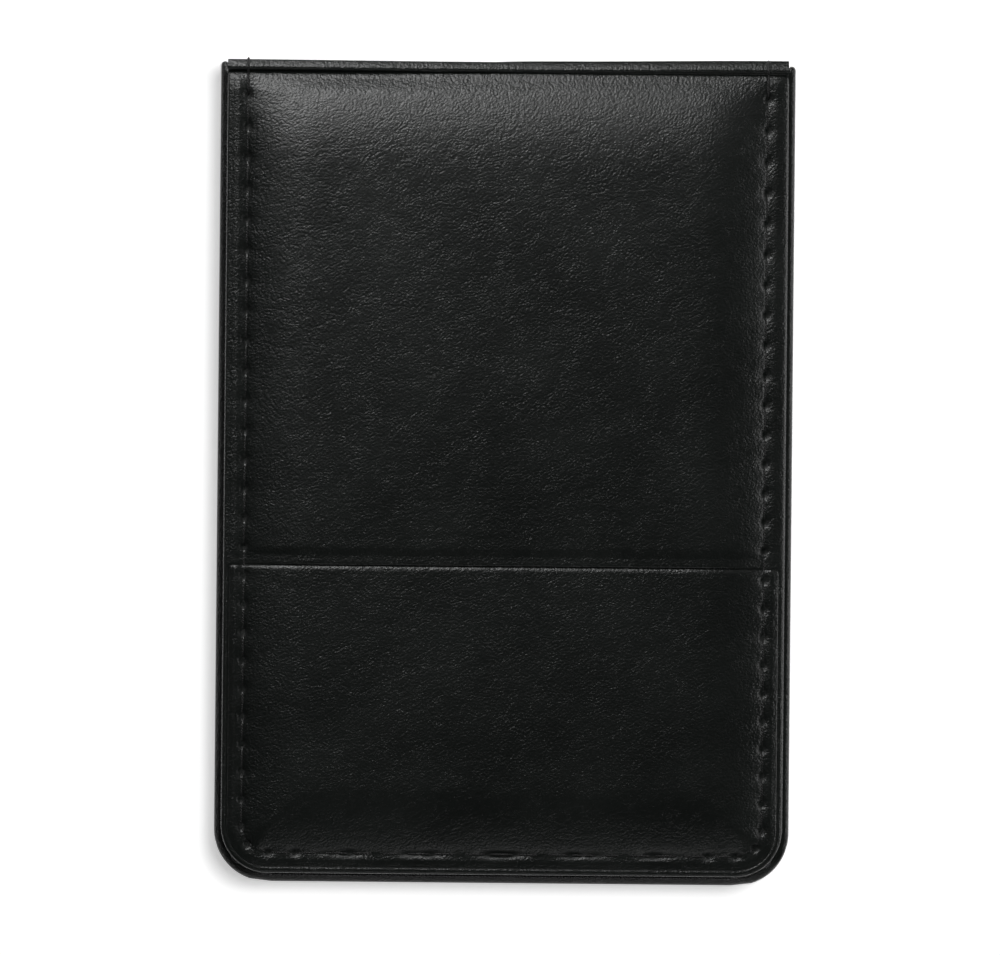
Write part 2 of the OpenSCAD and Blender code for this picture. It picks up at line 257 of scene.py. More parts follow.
class Flap:
    """A piece with the outline of a flap: straight sides, and corners of one radius at each end.

    Its surface is a grid of columns across and rows along. The rim is a list of (inset, height) points
    from the hidden end of the turned edge, round the edge and up to the face. Inside it the face takes its
    height from a function of x, y and the distance to the outline, so every line near the edge is an
    exact offset of the outline, corners too.
    """

    def __init__(self, half_w, y0, y1, corner, corner_top=0.0, rim=((0.0, 0.0),), top=True, bottom=True):
        self.half_w, self.y0, self.y1 = half_w, y0, y1
        self.corner, self.corner_top = corner, corner_top
        self.rim = [np.array(p, float) for p in rim]
        self.top, self.bottom = top, bottom
        reach = [0.0]
        for a, b in zip(self.rim[:-1], self.rim[1:]):
            reach.append(reach[-1] + float(np.linalg.norm(b - a)))
        start = self.rim[-1][0]
        self.rim_lines = [(reach[-1] - s - start, p[0], p[1]) for s, p in zip(reach, self.rim)]

    def columns(self, insets):
        inner = [(-t, t, None) for t in insets]
        half = self.rim_lines + inner
        return [(-1,) + c for c in half] + [(1,) + c for c in half[::-1]]

    def rows(self, ys):
        far = (-1.0, 1.0, None)
        low = [(line, far) for line in self.rim_lines] if self.bottom else []
        high = [(far, line) for line in self.rim_lines[::-1]] if self.top else []
        middle = [((self.y0 - y, y - self.y0, None), (y - self.y1, self.y1 - y, None)) for y in ys]
        return low + middle + high

    def drops(self, ys, folded):
        """How far each row hangs below the face: only the folded rows of a turned mouth do."""
        before = len(self.rim_lines) if self.bottom else 0
        after = len(self.rim_lines) if self.top else 0
        return [0.0] * (before + len(ys)) + [drop for _, drop in folded] + [0.0] * after

    def build(self, name, insets, ys, height, material, adjust=None, flip=None, cap=False, folded=()):
        columns, rows = self.columns(insets), self.rows(list(ys) + [y for y, _ in folded])
        points, rims, drops = [], [], []
        for (low, high), drop in zip(rows, self.drops(ys, folded)):
            at_low = low[0] > high[0]
            out_y, inset_y, z_y = low if at_low else high
            has_end = self.bottom if at_low else self.top
            corner = self.corner if at_low else self.corner_top
            for side, out_x, inset_x, z_x in columns:
                x_rules = out_x >= out_y or not has_end
                ring = inset_x if x_rules else inset_y
                out, z = (out_x, z_x) if x_rules else (out_y, z_y)
                x, inset = self.half_w - inset_x, inset_y
                dx, dy = corner + out_x, corner + out_y
                if has_end and dx > 0 and dy > 0:
                    centre = max(corner, ring)
                    n = math.hypot(dx, dy)
                    x = self.half_w - centre + dx / n * (centre - ring)
                    inset = centre - dy / n * (centre - ring)
                elif has_end:
                    x, inset = min(x, self.half_w - ring), max(inset_y, ring)
                y = self.y0 + inset if at_low else self.y1 - inset
                points.append((side * x, y, 0.0 if z is None else z, -out))
                rims.append(z is not None)
                drops.append(drop)
        grid = np.array(points)
        x, y, t, rims = grid[:, 0], grid[:, 1], grid[:, 3], np.array(rims)
        z = np.where(rims, grid[:, 2], height(x, y, t)) - np.array(drops)
        if adjust:
            z = adjust(x, y, z)
        if flip is not None:
            z = flip - z
        wide = len(columns)
        faces = []
        for j in range(len(rows) - 1):
            for i in range(wide - 1):
                a = j * wide + i
                quad = (a, a + 1, a + 1 + wide, a + wide)
                faces.append(quad if flip is None else quad[::-1])
        if cap:
            last = (len(rows) - 1) * wide
            loop = list(range(wide)) + [wide - 1 + wide * j for j in range(1, len(rows))]
            loop += [last + i for i in range(wide - 2, -1, -1)]
            loop += [wide * j for j in range(len(rows) - 2, 0, -1)]
            faces.append(tuple(loop) if flip is not None else tuple(loop[::-1]))
        return add_mesh(name, np.column_stack([x, y, z]), faces, material)


def strip(name, path, xs, material, shift=None):
    """A band that runs across the case: a path of (y, z) points, drawn out along X."""
    points, faces = [], []
    for x in xs:
        for k, (y, z) in enumerate(path):
            dy, dz = shift(x, k / (len(path) - 1)) if shift else (0, 0)
            points.append((x, y + dy, z + dz))
    n = len(path)
    for i in range(len(xs) - 1):
        for k in range(n - 1):
            a = i * n + k
            faces.append((a, a + n, a + n + 1, a + 1))
    return add_mesh(name, points, faces, material)


def arc(cy, cz, r, start, end, count):
    """Points (y, z) along an arc, with angles in degrees from +Y towards +Z."""
    return [(cy + r * math.cos(math.radians(a)), cz + r * math.sin(math.radians(a)))
            for a in np.linspace(start, end, count)]


def loft(name, rings, material):
    """A closed piece through rings of points, with a flat cap at each end."""
    sides = len(rings[0])
    points = [point for ring in rings for point in ring]
    faces = []
    for i in range(len(rings) - 1):
        for k in range(sides):
            a, b = i * sides + k, i * sides + (k + 1) % sides
            faces.append((a, b, b + sides, a + sides))
    faces += [tuple(range(sides))[::-1], tuple(range((len(rings) - 1) * sides, len(rings) * sides))]
    piece = add_mesh(name, points, faces, material)
    recalc(piece)
    return piece


# ---------------------------------------------------------------- stitch lines


def side_holes(first_y, last_y, first_pitch, last_pitch):
    """Places along a side row, whose pitch tightens evenly from its first hole to its last."""
    span = first_y - last_y
    count = max(2, round(span / ((first_pitch + last_pitch) / 2)))
    pitches = np.linspace(first_pitch, last_pitch, count)
    return first_y - np.concatenate([[0], np.cumsum(pitches)]) * span / pitches.sum()


def u_holes(x, y0, y1, corner, first=5.3 * MM, last=4.6 * MM, bottom=4.6 * MM):
    """Stitch holes down one side, round the lower edge and up the other side."""
    left = [(-x, y) for y in side_holes(y1, y0 + corner, first, last)]
    cx, cy = x - corner, y0 + corner
    a = CORNER_HOLE_ANGLE
    half = left + [(-cx - corner * math.cos(a), cy - corner * math.sin(a))]
    count = round(2 * cx / bottom)
    low = [(-cx + 2 * cx * i / count, y0) for i in range(count + 1)]
    return half + low + [(-px, py) for px, py in half[::-1]]


def lid_stitch_line():
    """Stitch holes of the lid."""
    s = bpy.context.scene.wallet_sizes
    return u_holes(LID_X - s.stitch_inset, LID_Y0 + s.stitch_inset, SIDE_ROW_TOP_Y, 4.5 * MM)


def mark_holes(piece, holes):
    """Stores how near each point is to a stitch hole, where the leather is duller and painted darker as
    shade.
    """
    points = np.array([v.co for v in piece.data.vertices])
    near = near_holes(points[:, 0], points[:, 1], holes, HOLE_MARK_REACH, 4)
    marks = piece.data.attributes.new("hole", "FLOAT", "POINT").data
    marks.foreach_set("value", near.astype(np.float32))


def near_holes(x, y, holes, reach, edge=2):
    """How strongly each point feels the nearest hole: 1 at the hole, falling off over reach.

    A higher power for the edge makes the fall sharper.
    """
    nearest = np.full(len(x), 1.0)
    for hx, hy in holes:
        nearest = np.minimum(nearest, np.hypot(x - hx, y - hy))
    return np.exp(-((nearest / reach) ** edge))


# ---------------------------------------------------------------- heights of the lid


def bead(x, y, t):
    """Rise of the margin above its base, from the rim to the stitch groove: fuller on the left side."""
    s = bpy.context.scene.wallet_sizes
    w, h, groove = s.rim_w, s.bead_h, s.stitch_inset
    at_bottom = smooth((LID_Y0 + 9 * MM - y) / (5 * MM))
    full = (1 - 0.7 * smooth(x / (20 * MM) + 0.5)) * (1 - 0.8 * at_bottom)
    ridge = eased(t, [(w - 0.5 * MM, 0.0), (w + 1.0 * MM, h), (groove - 0.45 * MM, 0.1 * h), (groove, 0.0),
                      (1.0, 0.0)])
    edge = eased(t, [(w - 0.5 * MM, -0.04 * MM), (w + 1.2 * MM, 0.06 * MM), (groove - 0.35 * MM, 0.05 * MM),
                     (groove, -0.1 * MM), (groove + 0.4 * MM, 0.0), (1.0, 0.0)])
    return full * ridge + edge * (1 - 0.85 * at_bottom)


def rise(t, start, width, power):
    """A pad's rise from its edge: steep at first, then easing to level."""
    return 1 - (1 - np.clip((t - start) / width, 0, 1)) ** power


def puckers(x, y):
    """What the stitches take away: a pinhole at each hole and a soft dip round it."""
    s = bpy.context.scene.wallet_sizes
    holes = lid_stitch_line()
    dip = near_holes(x, y, holes, DIP_REACH) * s.pucker
    hole = near_holes(x, y, holes, HOLE_REACH, 4) * HOLE_DEPTH
    return dip + hole


SWELLS = {}


def swell(label, x, y, y0, y1):
    """How far a pad stands up between its seams, from 0 at a seam to 1 at its highest point."""
    half = LID_X - bpy.context.scene.wallet_sizes.stitch_inset
    if label not in SWELLS:
        SWELLS[label] = inflate(half, y0, y1)
    field = SWELLS[label]
    rows, wide = field.shape
    u = np.clip((x + half) / (2 * half), 0, 1) * (wide - 1)
    v = np.clip((y - y0) / (y1 - y0), 0, 1) * (rows - 1)
    i, j = np.minimum(u.astype(int), wide - 2), np.minimum(v.astype(int), rows - 2)
    fu, fv = smooth(u - i), smooth(v - j)
    low = field[j, i] * (1 - fu) + field[j, i + 1] * fu
    high = field[j + 1, i] * (1 - fu) + field[j + 1, i + 1] * fu
    return low * (1 - fv) + high * fv


def inflate(half, y0, y1):
    """Cloth simulation of a sheet of leather that is held along its seams and pushed up by the foam."""
    wide = CLOTH_COLUMNS
    rows = max(9, round((y1 - y0) / (2 * half) * (wide - 1)) + 1)
    gx, gy = np.meshgrid(np.linspace(-1, 1, wide), np.linspace(-1, 1, rows))
    flat = np.column_stack([gx.ravel() * half, gy.ravel() * (y1 - y0) / 2, np.zeros(gx.size)])
    points = flat * CLOTH_SCALE
    quads = [(j * wide + i, j * wide + i + 1, (j + 1) * wide + i + 1, (j + 1) * wide + i)
             for j in range(rows - 1) for i in range(wide - 1)]
    mesh = bpy.data.meshes.new("pad_sheet")
    mesh.from_pydata([tuple(p) for p in points], [], quads)
    sheet = bpy.data.objects.new("pad_sheet", mesh)
    scene = bpy.context.scene
    scene.collection.objects.link(sheet)
    held = sheet.vertex_groups.new(name="seams")
    border = np.maximum(abs(gx), abs(gy)).ravel() > 0.999
    held.add([int(k) for k in np.flatnonzero(border)], 1.0, "REPLACE")
    cloth = sheet.modifiers.new("Cloth", "CLOTH")
    cloth.settings.quality = 6
    cloth.settings.mass = 0.3
    cloth.settings.vertex_group_mass = "seams"
    cloth.settings.use_pressure = True
    cloth.settings.uniform_pressure_force = 4
    cloth.settings.bending_stiffness = 2
    cloth.settings.effector_weights.gravity = 0
    cloth.point_cache.frame_start, cloth.point_cache.frame_end = 1, CLOTH_FRAMES
    for number in range(1, CLOTH_FRAMES + 1):
        scene.frame_set(number)
    done = sheet.evaluated_get(bpy.context.evaluated_depsgraph_get()).data
    z = np.array([v.co.z for v in done.vertices]).reshape(rows, wide)
    scene.frame_set(1)
    bpy.data.objects.remove(sheet)
    if abs(z).max() < 1e-5:
        raise RuntimeError("the pad's cloth sheet did not move")
    z = (z + z[:, ::-1]) / 2
    return np.clip(z / np.abs(z).max() * np.sign(z.sum()), 0, 1)


def upper_height(x, y, t):
    """Face of the lid: margin, upper pad, bare strip, and the flat back wall under the pocket."""
    s = bpy.context.scene.wallet_sizes
    t_side = np.where(y > 0, LID_X - np.abs(x), t)
    top = np.clip(LID_Y1 - y, 0, 1)
    across = rise(t_side, s.stitch_inset, s.pad_slope, 1.8)
    pad = (PAD_Z - MARGIN_Z) * across * rise(top, s.rim_w, s.shoulder, 2.5)
    crown = s.crown * swell("upper pad", x, y, MOUTH_Y + 2 * MM, LID_Y1 - 1 * MM)
    panel = MARGIN_Z + bead(x, y, t_side) + pad + crown - puckers(x, y)
    across = rise(t_side, s.stitch_inset + 0.4 * MM, s.pad_slope, 1.8)
    bare = MARGIN_Z + 0.6 * bead(x, y, t_side) + 2.36 * MM * across
    low = np.full_like(x, MARGIN_Z - 0.25 * MM)
    edge_y = MOUTH_Y + 2.1 * MM
    w_pad = smooth((y - edge_y + 0.35 * MM) / (1.5 * MM)) ** 0.6
    w_bare = smooth((y - MOUTH_Y + 0.9 * MM) / (1.2 * MM))
    z = bare + (panel - bare) * w_pad
    return low + (z - low) * w_bare


def pocket_height(x, y, t):
    """Face of the outer card pocket."""
    s = bpy.context.scene.wallet_sizes
    base = MARGIN_Z + 0.03 * MM + 0.24 * MM * smooth((t - s.rim_w) / (1.5 * MM))
    pad = (PAD_Z - base - 0.12 * MM) * rise(t, s.stitch_inset, s.pad_slope, 1.8)
    crown = 0.5 * s.crown * swell("card pocket", x, y, LID_Y0 + s.stitch_inset, MOUTH_Y + 8 * MM)
    return base + bead(x, y, t) + pad + crown - puckers(x, y)


def margin_fall(x, y, z):
    """On the right the margin curves down to its rim."""
    near = np.clip(1 - (LID_X - x) / (2.6 * MM), 0, 1)
    return LID_UNDER + (z - LID_UNDER) * (1 - 0.15 * near ** 2)


def lid_edge(x, y, z):
    """The lid thins towards the spine crease."""
    z = margin_fall(x, y, z)
    low = 0.72 + 0.23 * smooth((x + 30 * MM) / (40 * MM))
    fall = low + (1 - low) * np.clip((LID_Y1 - y) / (3.2 * MM), 0, 1) ** 0.7
    return LID_UNDER + (z - LID_UNDER) * fall


# ---------------------------------------------------------------- materials


def add_node(tree, kind, inputs=None, **settings):
    """A node whose inputs are set to the values given for them, or linked to the sockets."""
    node = tree.nodes.new(kind)
    for key, value in settings.items():
        setattr(node, key, value)
    for key, value in (inputs or {}).items():
        if isinstance(value, bpy.types.NodeSocket):
            tree.links.new(value, node.inputs[key])
        else:
            node.inputs[key].default_value = value
    return node


class Nodes:
    """Short ways to add nodes to one material."""

    def __init__(self, name):
        self.material = bpy.data.materials.new(name)
        self.material.use_nodes = True
        self.tree = self.material.node_tree
        self.shader = self.tree.nodes["Principled BSDF"]

    def add(self, kind, inputs=None, **settings):
        return add_node(self.tree, kind, inputs, **settings)

    def link(self, socket, name):
        self.tree.links.new(socket, self.shader.inputs[name])

    def place(self, turn=0.0, stretch=(1, 1, 1)):
        """Object coordinates, stretched along axes that are turned about Z."""
        coords = self.add("ShaderNodeTexCoord")
        return self.add("ShaderNodeMapping", {"Vector": coords.outputs["Object"], "Rotation": (0, 0, turn),
                                              "Scale": stretch}, vector_type="TEXTURE").outputs["Vector"]

    def axes(self):
        """Separate X, Y and Z of the object coordinates."""
        coords = self.add("ShaderNodeTexCoord")
        return self.add("ShaderNodeSeparateXYZ", {"Vector": coords.outputs["Object"]}).outputs

    def maths(self, operation, a, b=0.0, clamp=False):
        return self.add("ShaderNodeMath", {0: a, 1: b}, operation=operation, use_clamp=clamp).outputs[0]

    def noise(self, vector, scale, detail=2.0, rough=0.5):
        return self.add("ShaderNodeTexNoise", {"Vector": vector, "Scale": scale, "Detail": detail,
                                               "Roughness": rough}).outputs["Fac"]

    def spread(self, value, low, high, to_low=0.0, to_high=1.0):
        return self.add("ShaderNodeMapRange", {"Value": value, "From Min": low, "From Max": high,
                                               "To Min": to_low, "To Max": to_high}).outputs["Result"]

    def tint(self, factor, low, high):
        mix = self.add("ShaderNodeMix", {"Factor": factor}, data_type="RGBA")
        mix.inputs["A"].default_value = (*low, 1)
        mix.inputs["B"].default_value = (*high, 1)
        return mix.outputs["Result"]

    def bump(self, height, distance):
        node = self.add("ShaderNodeBump", {"Height": height, "Distance": distance, "Strength": 1.0})
        self.link(node.outputs["Normal"], "Normal")

    def pebbles(self, vector, scale, smoothness):
        """Distance to the middle of the nearest cell, with soft borders between the cells."""
        return self.add("ShaderNodeTexVoronoi", {"Vector": vector, "Scale": scale, "Smoothness": smoothness},
                        feature="SMOOTH_F1").outputs["Distance"]


def shades(colour, dark, light):
    """A darker and a lighter shade of a colour."""
    return tuple(c * dark for c in colour), tuple(min(1, c * light) for c in colour)


def leather(name, colour, roughness, grain, depth, crossing=True):
    """Pebbled leather: long pebbles that lie on a slant, finer creases, and cross wrinkles at the fold."""
    n = Nodes(name)
    n.shader.inputs["IOR"].default_value = 1.48
    place = n.place(GRAIN_SLANT, (1.3, 1.0, 1.0))
    drift = n.add("ShaderNodeTexNoise", {"Vector": place, "Scale": 0.35 / grain, "Detail": 2.0})
    warped = n.add("ShaderNodeMix", {"Factor": 0.00035}, data_type="VECTOR")
    n.tree.links.new(place, warped.inputs["A"])
    n.tree.links.new(drift.outputs["Color"], warped.inputs["B"])
    cells = n.pebbles(warped.outputs["Result"], 1.0 / grain, 0.3)
    small = n.pebbles(warped.outputs["Result"], 2.1 / grain, 0.4)
    patches = n.noise(place, 0.18 / grain, 2.0)
    fine = n.noise(place, 4.5 / grain, 3.0, 0.6)
    pebble = n.maths("MULTIPLY", cells, -1.0)
    pebble = n.maths("ADD", pebble, n.maths("MULTIPLY", small, -0.45))
    pebble = n.maths("ADD", pebble, n.maths("MULTIPLY", fine, 0.22))
    pebble = n.maths("MULTIPLY", pebble, n.spread(patches, 0.3, 0.7, 0.55, 1.1))
    if crossing:
        near_fold = n.spread(n.axes()["Y"], LID_Y1 - 9 * MM, LID_Y1 - 1 * MM)
        ridges = n.noise(n.place(0.0, (1.0, 4.0, 1.0)), 0.85 / grain, 2.0)
        pebble = n.maths("ADD", pebble, n.maths("MULTIPLY", n.maths("MULTIPLY", ridges, near_fold), 0.9))
    n.bump(pebble, depth)
    wear_and_hole_shade = n.noise(place, 0.03 / grain, 3.0)
    # Near each stitch hole the leather is made rougher, and its colour is painted darker as shade in the hole
    hole = n.add("ShaderNodeAttribute", attribute_name="hole").outputs["Fac"]
    sheen = n.maths("ADD", wear_and_hole_shade, n.maths("MULTIPLY", fine, 0.3))
    sheen = n.spread(sheen, 0.4, 0.9, roughness - 0.02, roughness + 0.04)
    n.link(n.maths("ADD", sheen, n.maths("MULTIPLY", hole, 0.6), True), "Roughness")
    # Random tone, minus painted shade at the stitch holes
    wear_and_hole_shade = n.maths("SUBTRACT", n.spread(wear_and_hole_shade, 0.35, 0.65), hole, True)
    n.link(n.tint(wear_and_hole_shade, *shades(colour, 0.85, 1.15)), "Base Color")
    return n.material


def woven(name, colour, pitch, depth):
    """A fine twill: two crossed rows of threads, painted darker in the hollows and lighter on the ridges."""
    n = Nodes(name)
    n.shader.inputs["Sheen Weight"].default_value = 0.15
    n.shader.inputs["Sheen Roughness"].default_value = 0.5
    n.shader.inputs["Roughness"].default_value = 0.8
    axes = n.axes()
    turn = 2 * math.pi / pitch
    along = n.maths("SINE", n.maths("MULTIPLY", n.maths("ADD", axes["X"], axes["Y"]), turn))
    along_z = n.maths("MULTIPLY", n.maths("SUBTRACT", axes["X"], axes["Y"]), turn * 0.5)
    across = n.maths("SINE", n.maths("ADD", along_z, n.maths("MULTIPLY", axes["Z"], turn)))
    cloth = n.maths("ADD", along, n.maths("MULTIPLY", across, 0.5))
    n.bump(cloth, depth)
    # The colour follows the relief of the weave: painted shade in its hollows, painted highlight on its
    # ridges
    n.link(n.tint(n.spread(cloth, -1.5, 1.5), *shades(colour, 0.6, 1.5)), "Base Color")
    return n.material


def thread_finish(colour):
    """Twisted polyester: slanted plies, painted lighter on their crests and darker between them."""
    n = Nodes("Thread")
    n.shader.inputs["Roughness"].default_value = 0.6
    axes = n.axes()
    slant = n.maths("ADD", n.maths("ADD", axes["X"], axes["Y"]), axes["Z"])
    ply_length = 0.45 * MM
    ply = n.maths("SINE", n.maths("MULTIPLY", slant, 2 * math.pi / ply_length))
    n.bump(ply, 0.03 * MM)
    # The colour follows the plies: painted highlight on each crest, painted shade between them
    n.link(n.tint(n.spread(ply, -1, 1), *shades(colour, 0.5, 1.6)), "Base Color")
    return n.material


def plain_stuff(name, low, high, scale, roughness, depth):
    """Board or foam: a fine mottled surface."""
    n = Nodes(name)
    n.shader.inputs["Roughness"].default_value = roughness
    speck = n.noise(n.place(), scale, 4.0, 0.7)
    n.link(n.tint(n.spread(speck, 0.3, 0.7), low, high), "Base Color")
    n.bump(speck, depth)
    return n.material


MATERIALS = {}


def make_materials():
    """The finishes, by short names that the pieces use."""
    f = bpy.context.scene.wallet_finish
    MATERIALS.update(
        outer=leather("Outer leather", f.leather, f.gloss, f.grain, GRAIN_DEPTH),
        inner=leather("Pocket leather", f.inner, 0.46, 0.8 * f.grain, 0.04 * MM, crossing=False),
        lining=woven("Twill lining", f.lining, 0.55 * MM, 0.05 * MM),
        thread=thread_finish(f.thread),
        board=plain_stuff("Fibre board", (0.30, 0.26, 0.21), (0.42, 0.37, 0.30), 900, 0.85, 0.05 * MM),
        foam=plain_stuff("Foam", (0.5, 0.5, 0.48), (0.62, 0.62, 0.6), 2500, 0.95, 0.1 * MM),
    )


# ---------------------------------------------------------------- back cover


def outer_rim(low, high, inside):
    """A turned edge between two heights: it thins towards its fold, which is round on the far side."""
    r = 0.8 * MM
    slope = [(inside, low), (0.5 * inside, low + 0.04 * MM), (1.8 * MM, low + 0.17 * MM),
             (0.9 * MM, low + 0.47 * MM)]
    turn = [(r - r * math.cos(a), high - r + r * math.sin(a)) for a in np.radians([-50, -25, 0, 30, 55, 78])]
    return slope + turn


def back_cover():
    """Outer skin of the back cover, with its edge turned in over the lining."""
    s = bpy.context.scene.wallet_sizes
    half_w, top = BACK[1].x, BACK[1].z
    holes = back_holes()

    def face(x, y, t):
        groove = 0.16 * MM * np.exp(-(((t - 5 * MM) / (0.4 * MM)) ** 2)) * (y < BACK[1].y - 1 * MM)
        return -(0.05 * MM + groove + 0.3 * MM * near_holes(x, y, holes, 0.45 * MM))

    rim = [(t, z - top) for t, z in outer_rim(-0.12 * MM, top, 6 * MM)]
    flap = Flap(half_w, BACK[0].y, BACK[1].y, BACK_CORNER, 0.7 * MM, rim)
    insets = steps(rim[-1][0] + 0.3 * MM, 4 * MM, 0.5 * MM) + steps(4 * MM, 6 * MM, 0.3 * MM)
    insets += steps(6 * MM, half_w, 4 * MM)
    ys = [BACK[0].y + t for t in insets[:12]] + steps(BACK[0].y + 7 * MM, BACK[1].y - 1 * MM, 0.8 * MM)
    piece = flap.build("back_cover_skin", insets, ys, face, MATERIALS["outer"], flip=0.0)
    for v in piece.data.vertices:
        # The corners beside the spine reach a little further back
        beside_spine = smooth((abs(v.co.x) - LID_X) / (0.7 * MM))
        beside_spine *= smooth((v.co.y - BACK[1].y + 3 * MM) / (3 * MM))
        v.co.y += 0.5 * MM * float(beside_spine)
        # On the right the turned edge stands up nearly level
        if v.co.z > 1.2 * MM:
            v.co.z += 0.85 * (2.1 * MM - v.co.z) * float(smooth((v.co.x - 46.5 * MM) / (2 * MM)))
    give_thickness(piece, s.leather_t)
    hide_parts("back_skin")
    finish(piece, "back_cover")


def back_holes():
    """Stitch holes of the back cover."""
    s = bpy.context.scene.wallet_sizes
    return u_holes(LID_X - s.stitch_inset, BACK[0].y + 3.6 * MM, BACK[1].y - 2 * MM, 4 * MM)


def back_lining():
    """Woven lining of the back cover, with a rounded edge under the turned leather."""
    low, high = LINING

    def face(x, y, t):
        return np.full_like(x, high.z - 0.02 * MM)

    rim = [(0.3 * MM, low.z), (0.0, low.z + 0.05 * MM), (0.0, high.z - 0.12 * MM),
           (0.1 * MM, high.z - 0.02 * MM)]
    flap = Flap(high.x - 0.4 * MM, low.y + 0.4 * MM, high.y - 0.2 * MM, 8 * MM, 1 * MM, rim)
    insets = [0.5 * MM, 9 * MM, 20 * MM, 40 * MM]
    ys = [low.y + 1 * MM] + steps(low.y + 8.5 * MM, high.y - 2 * MM, 10 * MM)
    piece = flap.build("back_cover_lining", insets, ys, face, MATERIALS["lining"], cap=True)
    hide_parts("back_lining")
    finish(piece, "back_cover")


def finish(piece, body):
    """Puts a piece on its body."""
    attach(piece, body)


# ---------------------------------------------------------------- phone pocket


def gusset_profile(wall, flange_w, height, t):
    """Cross-section of a gusset, as (distance out, height) points: a wall that leans out a little in the
    middle, and a flange."""
    outer = [(flange_w, 0.0), (flange_w, 0.85 * t), (flange_w - 0.15 * MM, t), (wall + 1.4 * MM, t)]
    bend = [(wall + 1.4 * MM - 1.1 * MM * math.sin(a), t + 1.1 * MM * (1 - math.cos(a)))
            for a in np.radians([25, 50, 75])]
    bow = [(wall + 0.12 * MM * math.sin(math.pi * u), t + (height - t) * u)
           for u in (0.35, 0.55, 0.75, 0.95)]
    top = [(wall, height - 0.02 * MM), (wall - 0.2 * MM, height), (0.12 * MM, height),
           (0.0, height - 0.15 * MM)]
    inner = [(0.10 * MM * math.sin(math.pi * u), height * u) for u in (0.75, 0.5, 0.25)]
    return outer + bend + bow + top + inner + [(0.0, 0.0)]


def gusset(name, node, side):
    """One side gusset of the phone pocket, whose flange is cut slanting at the lower end."""
    low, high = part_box(node)
    wall_x = PANEL[1].x - GUSSET_WALL
    flange_w = high.x - wall_x if side > 0 else -low.x - wall_x
    profile = gusset_profile(GUSSET_WALL, flange_w, high.z - low.z, GUSSET_T)
    cuts = [2.2 * MM * smooth((d - flange_w + 2.4 * MM) / (2.4 * MM)) for d, z in profile]
    rings = [[(side * (wall_x + d), low.y + cut, low.z + z) for (d, z), cut in zip(profile, cuts)]]
    for y in steps(low.y + 3 * MM, high.y, 3 * MM) + [high.y]:
        rings.append([(side * (wall_x + d), y, low.z + z) for d, z in profile])
    piece = loft(name, rings, MATERIALS["inner"])
    edge_bevel(piece)
    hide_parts(node)
    finish(piece, "back_cover")


def gusset_end():
    """The gusset across the lower end."""
    low, high = GUSSET_END
    profile = gusset_profile(GUSSET_WALL, high.y - low.y, high.z - low.z, GUSSET_T)
    xs = steps(low.x, high.x, 4 * MM) + [high.x]
    rings = [[(x, high.y - d, low.z + z) for d, z in profile] for x in xs]
    piece = loft("phone_pocket_end_gusset", rings, MATERIALS["inner"])
    edge_bevel(piece)
    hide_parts("gusset_bottom")
    finish(piece, "back_cover")


def recalc(piece):
    """Turns the faces of a closed piece outwards."""
    edit = bmesh.new()
    edit.from_mesh(piece.data)
    bmesh.ops.recalc_face_normals(edit, faces=edit.faces)
    edit.to_mesh(piece.data)
    edit.free()


def edge_bevel(piece, width=0.08 * MM):
    """Takes the sharpness off the edges."""
    bevel = piece.modifiers.new("Edge", "BEVEL")
    bevel.width, bevel.segments, bevel.limit_method = width, 2, "ANGLE"
    bevel.angle_limit = math.radians(50)
    bake_modifiers(piece)


def phone_panel():
    """Face of the phone pocket: it bows up a little between its seams."""
    low, high = PANEL
    holes = panel_holes()

    def face(x, y, t):
        bow = 0.25 * MM * smooth((t - 2 * MM) / (12 * MM))
        groove = 0.14 * MM * np.exp(-(((t - PANEL_STITCH_INSET) / (0.4 * MM)) ** 2)) * (y < high.y - 5 * MM)
        pull = 0.16 * MM * near_holes(x, y, holes, 0.7 * MM)
        return high.z - 0.1 * MM + bow - groove - pull

    rim = [(0.6 * MM, low.z), (0.12 * MM, low.z), (0.0, low.z + 0.15 * MM), (0.0, high.z - 0.25 * MM),
           (0.08 * MM, high.z - 0.13 * MM), (0.25 * MM, high.z - 0.1 * MM)]
    flap = Flap(high.x, low.y, high.y, 1.2 * MM, 0.8 * MM, rim)
    fine = steps(0.5 * MM, 3.2 * MM, 0.3 * MM)
    insets = fine + steps(3.2 * MM, 15 * MM, 1.5 * MM) + steps(15 * MM, high.x, 4 * MM)
    ys = [low.y + t for t in fine]
    ys += steps(low.y + 3.2 * MM, high.y - 0.4 * MM, 0.7 * MM)
    piece = flap.build("phone_pocket_face", insets, ys, face, MATERIALS["inner"], cap=True)
    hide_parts("phone_pocket_panel")
    finish(piece, "back_cover")


def panel_holes():
    """Stitch holes of the phone pocket."""
    low, high = PANEL
    inset = PANEL_STITCH_INSET
    return u_holes(high.x - inset, low.y + inset, high.y - 5.6 * MM, 1.2 * MM,
                   FINE_PITCH, FINE_PITCH, FINE_PITCH)


